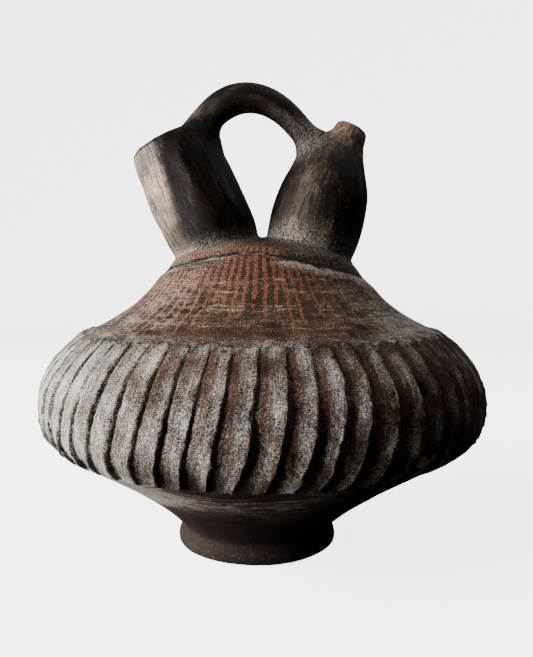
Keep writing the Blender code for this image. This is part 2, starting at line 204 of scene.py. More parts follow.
def ribCoordinate(points):
    # which rib a point is on, from -30 to 30 round from the front, with the share of the way to the next
    share = np.clip((points[:, 2] - beltBottom) / (beltTop - beltBottom), 0.0, 1.0)
    sweep = np.radians(ribs["sweep"]) * (1.0 - share) ** ribs["sweepPower"]
    angle = np.arctan2(points[:, 0], -points[:, 1]) - sweep
    crests = crestAngles(1.0)
    around = 2.0 * math.pi
    table = np.concatenate([crests - 2 * around, crests - around, crests, crests + around])
    return np.interp(angle, table, np.arange(len(table)) - 2.0 * ribs["count"])


def fillingAxis(lengths):
    # a straight line that leans to the left
    start = np.array([filling["x"], neckHeight + filling["rise"]])
    return start + np.outer(lengths, leanVector(filling["lean"], 1.0))


def fillingRadius(lengths):
    # widest at the belly, less a power of the way down to the foot or up to the rim
    below = np.maximum(filling["bellyAt"] - lengths, 0.0) / filling["bellyAt"]
    above = np.clip((lengths - filling["bellyAt"]) / (filling["length"] - filling["bellyAt"]), 0.0, 1.0)
    return (filling["bellyRadius"]
            - (filling["bellyRadius"] - filling["footRadius"]) * below ** filling["powers"][0]
            - (filling["bellyRadius"] - filling["rimRadius"]) * above ** filling["powers"][1])


def pouringAxis(lengths):
    # a quadratic curve, which leans more at its foot than at its top
    start = np.array([pouring["x"], neckHeight + pouring["rise"]])
    middle = start + leanVector(pouring["footLean"], pouring["length"] / 2.0)
    top = middle + leanVector(pouring["topLean"], pouring["length"] / 2.0)
    return bezier([start, middle, top], lengths / pouring["length"])


def pouringRadius(lengths, wall=0.0):
    # a quarter of an ellipse from the belly up, and a parabola from the belly down to the foot
    below = np.maximum(pouring["bellyAt"] - lengths, 0.0) / pouring["bellyAt"]
    reach = pouring["length"] - wall - pouring["bellyAt"]
    above = np.clip((lengths - pouring["bellyAt"]) / reach, 0.0, 1.0)
    return ((pouring["bellyRadius"] - wall) * np.sqrt(1.0 - above ** 2)
            - (pouring["bellyRadius"] - pouring["footRadius"]) * below ** 2)


def nozzleAxis(lengths):
    # a straight line that leans to the right, from a place on the pouring spout's axis
    start = pouringAxis(np.array([nozzle["at"]]))[0] + np.array([nozzle["shift"], 0.0])
    return start + np.outer(lengths, leanVector(nozzle["lean"], 1.0))


def nozzleRadius(lengths):
    # a straight taper from the foot's radius to the end's radius
    taper = nozzle["footRadius"] - nozzle["endRadius"]
    return nozzle["footRadius"] - taper * np.clip(lengths / nozzle["length"], 0, 1)


def handleAxis(shares):
    # a cubic curve that rises upright from the filling spout's rim, is at a set height halfway, and runs
    # on in a straight line into the bulb
    rim = fillingAxis(np.array([filling["length"]]))[0]
    across = leanVector(filling["lean"] + 90.0, filling["rimRadius"])
    start = rim + across - np.array([handle["rimInset"], handle["rimRoot"]])
    end = pouringAxis(np.array([handle["bulbAt"]]))[0] - np.array([handle["bulbInset"], 0.0])
    first = start + np.array([0.0, handle["spring"]])
    middle = rim[1] + handle["rise"]
    second = np.array([end[0] - handle["reach"], (8.0 * middle - start[1] - end[1]) / 3.0 - first[1]])
    path = bezier([start, first, second, end], np.linspace(0.0, 1.0, 65))
    landing = (end - second) / np.linalg.norm(end - second)
    path = np.concatenate([path, [end + landing * handle["bulbRoot"] * k / 4.0 for k in (1, 2, 3, 4)]])
    steps = np.linspace(0, 1, len(path))
    return np.stack([np.interp(shares, steps, path[:, 0]), np.interp(shares, steps, path[:, 1])], axis=1)


def handleRadius(shares):
    # straight lines between the listed radii, which lie evenly along the rod
    places = np.linspace(0, 1, len(handle["radii"]))
    return np.interp(shares, places, handle["radii"])


def makeObject(name, points, triangles):
    # an object made of points in millimetres and of triples of their numbers
    mesh = bpy.data.meshes.new(name)
    mesh.vertices.add(len(points))
    mesh.vertices.foreach_set("co", (points * mm).astype(np.float32).ravel())
    mesh.loops.add(3 * len(triangles))
    mesh.loops.foreach_set("vertex_index", triangles.astype(np.int32).ravel())
    mesh.polygons.add(len(triangles))
    mesh.polygons.foreach_set("loop_start", np.arange(0, 3 * len(triangles), 3, dtype=np.int32))
    mesh.update(calc_edges=True)
    made = bpy.data.objects.new(name, mesh)
    bpy.context.scene.collection.objects.link(made)
    return made


def skin(name, rings):
    # triangles over closed rings whose corner counts are equal or whole multiples; the ends are points
    counts = [len(points) for points in rings]
    starts = np.concatenate([[0], np.cumsum(counts)])
    faces = []
    for level, (low, high) in enumerate(zip(counts, counts[1:])):
        whole = max(low, high)
        i = np.arange(whole)
        j = (i + 1) % whole
        lowI, lowJ = starts[level] + i * low // whole, starts[level] + j * low // whole
        highI, highJ = starts[level + 1] + i * high // whole, starts[level + 1] + j * high // whole
        if low >= high:
            faces.append(np.stack([lowI, lowJ, highI], axis=1))
            faces.append(np.stack([lowJ, highJ, highI], axis=1)[highI != highJ])
        else:
            faces.append(np.stack([lowI, highJ, highI], axis=1))
            faces.append(np.stack([lowI, lowJ, highJ], axis=1)[lowI != lowJ])
    return makeObject(name, np.concatenate(rings), np.concatenate(faces))


def readPoints(thing):
    # a mesh's points in millimetres
    co = np.empty(3 * len(thing.data.vertices), dtype=np.float32)
    thing.data.vertices.foreach_get("co", co)
    return co.reshape(-1, 3).astype(float) / mm


def writePoints(thing, points):
    # puts points in millimetres back into the mesh
    thing.data.vertices.foreach_set("co", (points * mm).astype(np.float32).ravel())
    thing.data.update()


def readNormals(thing):
    # the unit normal at each point
    normals = np.empty(3 * len(thing.data.vertices), dtype=np.float32)
    thing.data.vertices.foreach_get("normal", normals)
    return normals.reshape(-1, 3).astype(float)


def combine(target, tools, operation):
    # joins or cuts closed skins, and leaves one plain mesh
    for tool in tools:
        step = target.modifiers.new(tool.name, "BOOLEAN")
        step.object = tool
        step.operation = operation
        step.solver = "MANIFOLD"
    bpy.context.view_layer.update()
    settled = bpy.data.meshes.new_from_object(target.evaluated_get(bpy.context.evaluated_depsgraph_get()))
    target.modifiers.clear()
    target.data = settled
    for tool in tools:
        bpy.data.objects.remove(tool, do_unlink=True)


def ring(radius, height, angles, shift=0.0):
    # points round the upright axis, at angles from the front: radius times sine, minus radius times cosine
    radius = np.broadcast_to(radius, angles.shape)
    return np.stack([shift + radius * np.sin(angles), -radius * np.cos(angles),
                     np.broadcast_to(height, angles.shape)], axis=1)


ribForm = {
    # across a rib, as shares of the way from its crest to the next: where its bank and its hollow floor
    # end, with what they gain low down, and how the flank that rises from there curves, low and high
    "bank": (0.10, 0.05), "floor": (0.14, 0.06, 0.16), "flank": (0.85, 0.3),
    "groove": (0.08, 0.055), "pillow": (0.1, 1.1), "pillowDepth": 0.55, "roundest": 0.92,
    # up the belt: how much shallower the ribs get, and how they fade out at either end
    "shallower": 0.55, "lowerEnd": (0.42, 0.58, 0.10), "upperEnd": (0.3, 0.7, 0.16),
    # where the ribs are round-backed and where they are shallow, in degrees round, less 360
    "rounded": ((6.0, -14.0), (-125.0, -85.0)), "shallow": ((-322.0, -296.0), (-240.0, -270.0)),
}
ribWear = {
    # degrees that a crest wanders, and how uneven, swollen, burred and bitten the ribs are
    "wander": (0.55, 0.26), "uneven": 0.28, "swollen": 0.35, "burr": 0.95, "bite": 0.9,
    "upperTips": (0.3, 0.6), "lowerTips": 0.8,
}


def ribDepth(place, share, uneven, rounded):
    # how far the surface lies under the crests: a bank drops right of each crest onto a hollow floor,
    # which is wider low down, and from there the clay rises to the next crest; where rounded is 1, the
    # rib is a round-backed pillow after a narrow groove
    low = 1.0 - share
    floorEnd = ribForm["floor"][0] + ribForm["floor"][1] * low + ribForm["floor"][2] * low ** 2
    climb = np.clip((place - floorEnd) / (1.0 - floorEnd), 0.0, 1.0)
    swell = 1.0 - (1.0 - climb) ** (ribForm["flank"][0] + ribForm["flank"][1] * share)
    profile = ease(0.0, ribForm["bank"][0] + ribForm["bank"][1] * low, place) * (1.0 - swell)
    back = np.sin(math.pi * np.clip((place - ribForm["pillow"][0]) / ribForm["pillow"][1], 0, 1))
    pillow = ribForm["pillowDepth"] * bump(place, *ribForm["groove"]) + ribForm["pillowDepth"] * (1.0 - back)
    rounded = ribForm["roundest"] * rounded * ease(0.0, 0.5, share)
    profile = profile * (1.0 - rounded) + pillow * rounded
    least, gain, reach = ribForm["lowerEnd"]
    before = 1.0 - np.minimum(share / reach, 1.0)
    lowerEnd = least + gain * np.sqrt(np.clip(1.0 - before ** 2, 0.0, 1.0))
    least, gain, reach = ribForm["upperEnd"]
    upperEnd = least + gain * ease(0.0, reach, 1.0 - share + 0.12 * (uneven - 1.0)) ** 0.6
    depth = ribs["depth"] * (1.0 - ribForm["shallower"] * share)
    return depth * uneven * profile * lowerEnd * upperEnd


def varied(line, finer, seed):
    # from -1 to 1 for each rib at the line's height; the larger finer is, the faster it changes upwards
    return lumps(line * [1, finer, 1], 1.0, seed)


def beltRings():
    # at each height, the belt's radius less the depth of its ribs, plus burrs on the crests and swellings
    # between them; the columns of points follow the crests
    rows = 42
    even = np.linspace(0.0, 1.0, rows)
    shares = 0.45 * even + 0.55 * (0.5 - 0.5 * np.cos(math.pi * even))    # closer together at both edges
    places = np.array(ribs["columns"])
    which = np.arange(ribs["count"])
    nearCrest = np.minimum(places, 1 - places)
    rings = []
    for share in shares:
        height = beltBottom + share * (beltTop - beltBottom)
        fade = math.sin(math.pi * min(max(share, 0.0), 1.0)) ** 0.4
        line = np.stack([which * 5.3, np.full(len(which), share * 5.0), which * 0.0], axis=1)
        wander = ribWear["wander"][0] * varied(line, 1, 3) + ribWear["wander"][1] * varied(line, 5, 4)
        crests = crestAngles(share) + np.radians(wander) * fade
        gaps = np.diff(crests, append=crests[0] + 2.0 * math.pi)
        angles = crests[:, None] + gaps[:, None] * places
        uneven = 1.0 + ribWear["uneven"] * varied(line, 0.6, 5)[:, None]
        swollen = ribWear["swollen"] * varied(line, 1.6, 7)[:, None] * places * (2.0 - places)
        burr = ribWear["burr"] * varied(line, 7, 6)[:, None] * bump(nearCrest, 0, 0.05)
        burr -= ribWear["bite"] * ease(0.35, 0.75, varied(line, 3.5, 9))[:, None] * bump(nearCrest, 0, 0.1)
        side = np.degrees(crests + 0.5 * gaps)[:, None] % 360.0 - 360.0
        rounded, shallow = (ease(*start, side) * ease(*end, side)
                            for start, end in (ribForm["rounded"], ribForm["shallow"]))
        depth = ribDepth(places[None, :], share, uneven, rounded) * (1.0 - 0.45 * shallow)
        radii = beltRadius(height) - depth + (burr + swollen) * fade
        # each rib ends at its own height, above and below
        own = varied(line, 0, 8)[:, None]
        tips = (ribWear["upperTips"][0] + ribWear["upperTips"][1] * own) * ease(0.86, 1.0, share)
        tips = tips + ribWear["lowerTips"] * own * ease(0.1, 0.0, share)
        level = height + tips * np.sin(math.pi * places) ** 0.5
        rings.append(ring(radii.ravel(), level.ravel(), angles.ravel()))
    return rings


def bodyOutside():
    # a profile carried round the upright axis: underside, foot, cone, ribbed belt, shoulder and dome
    places = np.array(ribs["columns"])

    def angles(share, step):
        # where the columns of points lie round this height of the belt, keeping one in every step
        crests = crestAngles(share)
        gaps = np.diff(crests, append=crests[0] + 2.0 * math.pi)
        return (crests[:, None] + gaps[:, None] * places[::step]).ravel()

    low, high, highHalf = angles(0.0, 4), angles(1.0, 2), angles(1.0, 4)
    shift = foot["shift"]
    standing = foot["radius"] - 1.2
    inner = standing - foot["ringWidth"]
    rings = [np.array([[shift, 0.0, foot["recess"]]])]
    rings += [ring(inner * share, foot["recess"], low[::step], shift)
              for share, step in ((0.3, 4), (0.6, 2))]
    underside = smoothPath([(inner - 2.6, foot["recess"]), (inner - 0.6, 0.7), (inner + 0.6, 0.1)], 5)
    lip = smoothPath([(standing - 0.8, 0.06), (43.0, 1.1), (43.3, 2.8), (43.1, 4.8), (42.3, 6.6),
                      (41.35, 8.2), (40.85, 9.6)], 16)
    for radius, height in np.concatenate([underside, [(inner + 3.0, 0.0), (standing - 2.5, 0.0)], lip]):
        rings.append(ring(radius, height, low, shift))
    for radius, height in lowerWall(np.linspace(0, 1, 28)):
        rings.append(ring(radius, height, low, footShift(height)))
    rings.append(ring(belt["radius"] - belt["lowerTurn"] - 0.4, beltBottom - 0.25, low))
    rings += beltRings()
    shares = np.concatenate([[0.0, 0.006, 0.02], np.linspace(0.05, 0.52, 14), np.linspace(0.55, 1.0, 25)])
    for radius, height in shoulderCurve(shares):
        rings.append(ring(radius, height, high))
    for radius, height in domeCurve(np.linspace(0, 1, 15))[1:-1]:
        columns = high if radius > 36 else highHalf if radius > 14 else highHalf[::4]
        rings.append(ring(radius, height, columns))
    rings.append(np.array([[0.0, 0.0, domeTop]]))
    return skin("kendi_clay", rings)


def inset(outline, distance):
    # the outline moved square to itself, towards the axis
    along = np.gradient(outline, axis=0)
    along /= np.linalg.norm(along, axis=1)[:, None]
    return outline + distance * np.stack([-along[:, 1], along[:, 0]], axis=1)


def bodyInside():
    # the body's outline moved in by the wall and carried round the axis, over a flat floor
    angles = np.arange(96) * 2.0 * math.pi / 96
    heights = np.linspace(beltBottom, beltTop, 10)[1:-1]
    around = np.stack([beltRadius(heights) - ribs["depth"] + 0.6, heights], axis=1)
    outline = np.concatenate([lowerWall(np.linspace(0.1, 0.9, 6)), around,
                              shoulderCurve(np.linspace(0.15, 0.9, 7)), domeCurve(np.linspace(0, 0.75, 5))])
    floorHeight = foot["recess"] + foot["base"]
    floorRadius = foot["radius"] - foot["waistDepth"] - walls["body"]
    rings = [np.array([[foot["shift"], 0.0, floorHeight]]),
             ring(floorRadius, floorHeight, angles, foot["shift"])]
    for radius, height in inset(outline, walls["body"]):
        rings.append(ring(radius, height, angles, footShift(height)))
    rings.append(np.array([[0.0, 0.0, domeTop - walls["body"]]]))
    return skin("inside of the body", rings)


def flatWander(turn, along):
    # how far the edges of the scraped flats drift round a spout
    return 0.25 * np.sin(along / 17.0) + 0.1 * np.sin(3.0 * turn + along / 9.0)


def facetedShare(turn, along, facets, flatness):
    # scraping left flats: round where flatness is 0, a polygon where it is 1
    half = math.pi / facets
    offset = np.mod(turn + flatWander(turn, along), 2.0 * half) - half
    flat = math.cos(half) / np.cos(offset)
    return 1.0 - flatness * (1.0 - flat)


def tube(name, path, along, radii, columns, facets=0, flatness=0.0, extra=None):
    # round rings square to a path in the XZ plane, closed by a point at either end
    way = np.gradient(path, axis=0)
    way /= np.linalg.norm(way, axis=1)[:, None]
    side = np.stack([way[:, 1], -way[:, 0]], axis=1)
    turn = np.arange(columns) * 2.0 * math.pi / columns
    grid = np.repeat(radii[:, None], columns, axis=1)
    if facets:
        grid = grid * facetedShare(turn[None, :], along[:, None], facets, flatness)
    if extra is not None:
        grid = grid + extra(turn[None, :], along[:, None])
    x = path[:, :1] + side[:, :1] * grid * np.cos(turn)
    z = path[:, 1:] + side[:, 1:] * grid * np.cos(turn)
    y = grid * np.sin(turn)
    rings = list(np.stack([x, y, z], axis=2))
    ends = [np.array([[path[k, 0], 0.0, path[k, 1]]]) for k in (0, -1)]
    return skin(name, [ends[0], *rings, ends[1]])


def fillingSpout():
    # circles along the axis, with the last five radii drawn in to round the lip
    top = filling["length"]
    lip = top - np.array([1.5, 0.8, 0.3, 0.05, 0])
    lengths = np.concatenate([np.linspace(-throat["letIn"], top - 2.4, 46), lip])
    radii = fillingRadius(lengths)
    radii[-5:] -= np.array([0.05, 0.25, 0.7, 1.4, 4.0])
    path = fillingAxis(lengths)
    return tube("filling spout", path, lengths, radii, 96, filling["facets"], filling["flatness"])


def fillingBore():
    # the spout's radius less the wall, drawn to the mouth's radius by the cube of the way up
    top = filling["length"]
    lengths = np.concatenate([[-throat["start"]], np.linspace(0, 0.94, 12) * top,
                              top - np.array([1.6, 0.7, 0.0]), [top + 3.0]])
    drawn = np.clip(lengths / top, 0.0, 1.0) ** 3
    radii = (fillingRadius(lengths) - walls["spout"]) * (1.0 - drawn) + filling["mouth"] * drawn
    radii[0] = throat["share"] * radii[1]
    radii[-4:] += np.array([0.2, 0.9, 2.2, 3.5])
    path = fillingAxis(lengths) - np.outer(drawn, leanVector(filling["lean"] + 90.0, filling["mouthShift"]))
    return tube("filling bore", path, lengths, radii, 60)


def pouringSpout():
    # circles along the curved axis, closer together where the bulb closes
    shares = np.concatenate([np.linspace(-throat["letIn"] / pouring["length"], 0.9, 40),
                             [0.925, 0.95, 0.97, 0.985, 0.995]])
    lengths = shares * pouring["length"]
    return tube("pouring spout", pouringAxis(lengths), lengths, pouringRadius(lengths), 96,
                pouring["facets"], pouring["flatness"])


def pouringBore():
    # the pouring spout's own form less the wall, narrowed where it leaves the body
    lengths = np.concatenate([np.linspace(0, 0.9, 12), [0.95, 0.98]]) * (pouring["length"] - walls["spout"])
    lengths = np.concatenate([[-throat["start"]], lengths])
    radii = pouringRadius(lengths, walls["spout"])
    radii[0] = throat["share"] * radii[1]
    return tube("pouring bore", pouringAxis(lengths), lengths, radii, 60)


def nozzleSpout():
    # circles along the axis in a straight taper, with the last four radii drawn in to round the lip
    end = nozzle["length"]
    lengths = np.concatenate([np.linspace(0, end - 2.0, 14), end - np.array([1.3, 0.7, 0.25, 0.0])])
    radii = nozzleRadius(lengths)
    radii[-4:] -= np.array([0.1, 0.4, 1.0, 2.4])
    return tube("nozzle", nozzleAxis(lengths), lengths, radii, 48, 7, 0.35)


def nozzleBore():
    # a plain round hole, which flares at the lip
    end = nozzle["length"]
    lengths = np.array([-walls["spout"], 0.0, end - 1.2, end - 0.4, end + 2.0])
    radii = nozzle["hole"] + np.array([0, 0, 0, 0.5, 2.0])
    return tube("nozzle bore", nozzleAxis(lengths), lengths, radii, 32)


def handleRod():
    # circles along the handle's curve, flattened by the scraper
    shares = np.linspace(0, 1, 76)
    path = handleAxis(shares)

    def ridge(turn, along):
        # a faint ridge along the lower front, and a flattened top
        under = np.mod(turn - math.radians(218.0), 2 * math.pi)
        under = np.minimum(under, 2 * math.pi - under)
        return 0.55 * np.exp(-(under / 0.22) ** 2) - 0.25 * np.cos(2.0 * turn) * bump(along, 0.5, 0.3)

    # its root tapers away inside the wall of the filling spout
    drop = np.array([9.0, 7.0, 4.5, 2.0])
    path = np.concatenate([path[0] - np.stack([0.1 * drop ** 1.8, drop], axis=1), path])
    radii = np.concatenate([handle["radii"][0] * np.sqrt(1.0 - (drop / 10.0) ** 2), handleRadius(shares)])
    return tube("handle rod", path, np.concatenate([0.0 * drop, shares]), radii, 40, 9, 0.35, ridge)


def profileHeight(radius):
    # the height of the shoulder and the dome at a distance from the axis
    table = np.concatenate([shoulderCurve(np.linspace(0, 1, 80)), domeCurve(np.linspace(0, 1, 60))[1:]])
    return np.interp(radius, table[::-1, 0], table[::-1, 1])


def bodyField(points):
    # how far points lie outside the body: the height over its profile, divided by the profile's slant
    radius = np.hypot(points[:, 0], points[:, 1])
    slope = profileHeight(radius + 0.5) - profileHeight(radius - 0.5)
    return (points[:, 2] - profileHeight(radius)) / np.sqrt(1.0 + slope ** 2)


def limbField(points, axis, radius, ends, pieces):
    # how far points lie outside a limb, and the place along it that is nearest to each
    along = np.linspace(*ends, pieces + 1)
    path = axis(along)
    flat = points[:, [0, 2]]
    nearest = np.full(len(points), np.inf)
    where = np.zeros(len(points))
    for a, b, low, high in zip(path, path[1:], along, along[1:]):
        step = b - a
        share = np.clip(((flat - a) @ step) / (step @ step), 0.0, 1.0)
        distance = ((flat - a - share[:, None] * step) ** 2).sum(axis=1)
        where = np.where(distance < nearest, low + share * (high - low), where)
        nearest = np.minimum(nearest, distance)
    last = path[-1] - path[-2]
    past = (flat - path[-1]) @ last / np.linalg.norm(last)
    unit = np.linalg.norm(np.diff(path, axis=0), axis=1).sum() / (ends[1] - ends[0])
    nudge = 0.004 * (ends[1] - ends[0])
    slope = (radius(where + nudge) - radius(where - nudge)) / (2.0 * nudge * unit)
    reach = np.sqrt(nearest + points[:, 1] ** 2)
    beside = (reach - radius(where)) / np.sqrt(1.0 + np.minimum(slope ** 2, 9.0))
    return np.maximum(beside, past), where


limbs = {"filling": (fillingAxis, fillingRadius, (-12.0, filling["length"]), 1),
         "pouring": (pouringAxis, pouringRadius, (-12.0, 0.99 * pouring["length"]), 28),
         "nozzle": (nozzleAxis, nozzleRadius, (0.0, nozzle["length"]), 1),
         "handle": (handleAxis, handleRadius, (0.0, 1.0), 48)}
softness = {"body": 3.0, "spouts": 3.5, "handle": 9.0, "nozzle": 7.0}


def softJoin(first, second, size):
    # the lesser of two distances, less a quarter of their squared overlap, so that clay fills the corner
    overlap = np.maximum(size - np.abs(first - second), 0.0) / size
    return np.minimum(first, second) - 0.25 * size * overlap ** 2


def joinedField(points, soft=True):
    # the whole clay above the shoulder, with or without the clay smeared into its joints
    parts = {name: limbField(points, *limb)[0] for name, limb in limbs.items()}
    parts["body"] = bodyField(points)
    if not soft:
        return np.minimum.reduce(list(parts.values()))
    bulb = softJoin(parts["pouring"], parts["nozzle"], softness["nozzle"])
    high = ease(184.0, 190.0, points[:, 2])
    size = softness["spouts"] * (1.0 - high) + softness["handle"] * high
    spouts = softJoin(softJoin(parts["filling"], parts["handle"], softness["handle"]), bulb, size)
    return softJoin(parts["body"], spouts, softness["body"])


def smearJoints(points):
    # moves the skin outwards where two forms meet, onto the soft join
    near = points[:, 2] > limbsFrom
    moved = points[near]
    hard = joinedField(moved, soft=False)
    step = 0.05
    for _ in range(4):
        here = joinedField(moved)
        slope = np.stack([joinedField(moved + step * np.eye(3)[k]) - here for k in range(3)], axis=1) / step
        length = (slope ** 2).sum(axis=1) + 0.05
        moved = moved + np.clip((hard - here) / length, -2.5, 2.5)[:, None] * slope
    points[near] = moved
    return points


def nearMark(points, mark):
    # 1 at a mark, given by its angle, height and reach in millimetres round and up
    angle, height, across, up = mark
    angle = math.radians(angle)
    out = points[:, 0] * math.sin(angle) - points[:, 1] * math.cos(angle)
    side = points[:, 0] * math.cos(angle) + points[:, 1] * math.sin(angle)
    near = (side / across) ** 2 + ((points[:, 2] - height) / up) ** 2 + 0.5 * lumps(points, 2.6, 31)
    return np.exp(-np.maximum(near, 0.0) ** 2) * (out > 0)


wear = {
    # angle round from the front, height, half its width and half its height
    "chips": ((37.0, 67.2, 2.7, 3.2), (39.2, 69.4, 2.6, 2.3), (-120.0, 70.0, 4.0, 3.0),
              (163.0, 112.0, 3.5, 2.5)),
    "pits": ((36.65, 96.8, 2.6, 2.4), (49.5, 99.8, 1.6, 1.6), (28.3, 97.1, 0.8, 0.8),
             (-56.0, 76.5, 1.0, 4.5), (-100.0, 88.0, 1.5, 2.0), (130.0, 80.0, 1.8, 2.4),
             (178.0, 95.0, 1.4, 1.4)),
    "stains": ((-2.9, 133.6, 1.5, 0.9), (-23.4, 129.9, 1.4, 0.8), (-28.9, 128.9, 2.4, 0.9),
               (-34.3, 126.6, 3.4, 0.9), (-36.2, 119.9, 1.6, 0.7), (33.1, 122.0, 3.0, 1.0),
               (27.2, 119.2, 1.5, 0.8), (100.0, 128.0, 2.5, 1.0), (-150.0, 132.0, 2.0, 1.0)),
    "lumps": ((17.4, 72.0, 3.2, 3.8), (5.4, 73.3, 1.8, 5.0), (-75.0, 70.0, 2.4, 3.5),
              (140.0, 73.0, 2.6, 3.5)),
}
wearDepth = {"lumps": 1.2, "pits": 1.1, "chips": 0.5, "stains": 0.35}


def marks(points, kind):
    # the strongest mark of this kind at each point
    return np.maximum.reduce([nearMark(points, mark) for mark in wear[kind]])


collar = {
    "x": 2.0, "reach": (54.0, 44.5), "depth": 1.5, "bank": 1.0, "width": 1.5,
    # how much further out it runs in front: height, x and width of each swell
    "swells": ((2.6, -4.0, 11.0), (-1.8, 24.0, 14.0)),
    "wobbles": ((0.9, 11.0, 16), (0.5, 4.0, 18)),
}
# height, size and seed of the unevenness that hands left on all of it, and of the belt's grit
handled = ((0.28, 16.0, 13), (0.10, 6.0, 14))
beltGrit = ((0.24, 3.1, 11), (0.16, 1.7, 12))


def layered(points, layers, start=0.0):
    # lumps of several sizes on one another
    return sum((height * lumps(points, size, seed) for height, size, seed in layers), start)


def collarAway(points):
    # how far points lie outside the oval groove round the feet of both spouts, which peaks in front
    oval = np.hypot((points[:, 0] - collar["x"]) / collar["reach"][0], points[:, 1] / collar["reach"][1])
    front = ease(0.0, -20.0, points[:, 1])
    peak = sum(height * bump(points[:, 0], x, width) for height, x, width in collar["swells"])
    return layered(points, collar["wobbles"], (oval - 1.0) * collar["reach"][1] + front * peak)


def collarShape(points):
    # a groove between two banks, which fades out under the spouts
    away = collarAway(points)
    width = collar["width"] * (1.0 + 0.7 * ease(-10.0, 20.0, points[:, 0]))
    shape = collar["bank"] * (bump(away, 1.9 * width, 1.1 * width) + 0.6 * bump(away, -1.9 * width, width))
    shape -= collar["depth"] * bump(away, 0.0, 0.85 * width)
    forward = np.abs(points[:, 1]) / np.hypot(points[:, 0], points[:, 1] + 1e-6)
    return shape * (0.35 + 0.65 * ease(0.15, 0.75, forward))


def relief(points, normals):
    # what hands, tools and wear left on the clay, along the normals
    onBody = 1.0 - joinedLimbs(points)
    level = points[:, 2]
    onBelt = ease(beltBottom - 1.5, beltBottom + 1, level) * (1 - ease(beltTop - 1, beltTop + 0.5, level))
    height = onBelt * onBody * layered(points, beltGrit) + layered(points, handled)
    height += (1.0 - onBelt) * onBody * 0.08 * lumps(points * [1, 1, 2.5], 2.6, 15)
    height += onBody * (level > beltTop + 5) * collarShape(points) * (0.75 + 0.45 * lumps(points, 14.0, 17))
    height += wearDepth["lumps"] * marks(points, "lumps") * (1.0 + 0.6 * lumps(points, 2.2, 19))
    height -= sum(wearDepth[kind] * marks(points, kind) for kind in ("pits", "chips", "stains"))
    # the flake lost at the lower right left a slanted face
    flake = wear["chips"][0]
    turned = math.radians(flake[0])
    sideways = points[:, 0] * math.cos(turned) + points[:, 1] * math.sin(turned)
    height -= nearMark(points, flake) * np.clip(0.9 - 0.55 * sideways, 0.0, 2.4)
    return points + normals * height[:, None]


def joinedLimbs(points):
    # 1 on the spouts and the handle, 0 on the body
    mask = np.zeros(len(points))
    near = points[:, 2] > limbsFrom
    high = points[near]
    nearest = np.minimum.reduce([limbField(high, *limb)[0] for limb in limbs.values()])
    mask[near] = ease(-1.2, 1.2, bodyField(high) - nearest)
    return mask


def hollowDepth(points):
    # how deep points lie under the outer skin, over 0 only on the walls of the hollow
    radius = np.hypot(points[:, 0] - footShift(points[:, 2]), points[:, 1])
    lower = lowerWall(np.linspace(0, 1, 60))
    around = np.linspace(beltBottom + 0.5, beltTop - 0.5, 40)
    heights = np.concatenate([[-1.0, 9.0], lower[:, 1], around])
    radii = np.concatenate([[43.0, 41.0], lower[:, 0], beltRadius(around) - ribs["depth"]])
    wall = np.interp(points[:, 2], heights, radii) - radius
    depth = np.minimum(wall, points[:, 2] - foot["recess"])
    high = points[:, 2] > beltTop
    depth[high] = -joinedField(points[high])
    return depth


def setAttribute(thing, name, *values):
    # one number or three for each point
    kind, field = ("FLOAT", "value") if len(values) == 1 else ("FLOAT_VECTOR", "vector")
    made = thing.data.attributes.new(name, kind, "POINT")
    made.data.foreach_set(field, np.stack(values, axis=1).astype(np.float32).ravel())


def creases(upper, fields):
    # 1 where dust settles: round the feet of both spouts, wider on the right, and where the handle lands
    spouts = np.minimum(fields["filling"][0], fields["pouring"][0])
    reach = 5.0 + 4.0 * ease(0.0, 12.0, upper[:, 0])
    feet = bump(bodyField(upper), 0.0, reach) * bump(spouts, 0.0, reach)
    landing = 0.7 * bump(fields["handle"][0], 0.0, 6.0) * bump(fields["pouring"][0], 0.0, 6.0)
    return np.maximum(feet, landing)


def rubbedAndHighlitFlat(points):
    # 1 on the scraped flats at the outer left of the filling spout, which face the window lamp: pale rubbed
    # clay, and partly a painted highlight
    lean = math.radians(filling["lean"])
    start = fillingAxis(np.array([0.0]))[0]
    across = (points[:, 0] - start[0]) * math.cos(lean) - (points[:, 2] - start[1]) * math.sin(lean)
    along = (points[:, 0] - start[0]) * math.sin(lean) + (points[:, 2] - start[1]) * math.cos(lean)
    edge = filling["rubbedAndHighlitEdge"] * 2.0 * math.pi / filling["facets"]
    past = np.degrees(np.arctan2(-points[:, 1], -across) + math.pi - edge + flatWander(edge, along))
    flat = ease(9.0, -8.0, past) * ease(-100.0, -70.0, past) * ease(-8.0, 36.0, along)
    return flat * (np.hypot(across, points[:, 1]) < 30.0) * (along < filling["length"] - 2.0)


# how pale each place is painted: rubbed clay, partly a painted highlight on the handle and a painted sheen
# on the bulb
rubbingAndHighlight = {"nozzle": 0.7, "handle": 0.4, "bulb": 0.36}


def rubbedAndHighlitClay(points, limb, high, fields):
    # where the clay is painted pale: rubbed clay on the nozzle, rubbed clay and a painted highlight on the
    # filling spout's flats and the handle's left end, and a painted sheen on the bulb's left side
    onNozzle = bump(limbField(points, *limbs["nozzle"])[0], 0.0, 1.5)
    rubbed = np.maximum(rubbedAndHighlitFlat(points), rubbingAndHighlight["nozzle"] * onNozzle * limb)
    upper = points[high]
    # the handle's left end: rubbed clay, partly a painted highlight
    onHandle = bump(fields["handle"][0], 0.0, 1.5) * ease(0.36, 0.14, fields["handle"][1])
    rubbed[high] = np.maximum(rubbed[high], rubbingAndHighlight["handle"] * onHandle * (upper[:, 2] > 205.0))
    # a painted sheen on the left side of the bulb, where the window lamp reflects
    outer, along = fields["pouring"]
    beside = upper[:, 0] - pouringAxis(along)[:, 0]
    paintedBulbSheen = bump(outer, 0.0, 1.5) * bump(beside, -10.0, 6.0)
    paintedBulbSheen = paintedBulbSheen * ease(0.0, 14.0, along) * ease(50.0, 30.0, along)
    rubbed[high] = np.maximum(rubbed[high], rubbingAndHighlight["bulb"] * paintedBulbSheen)
    return rubbed


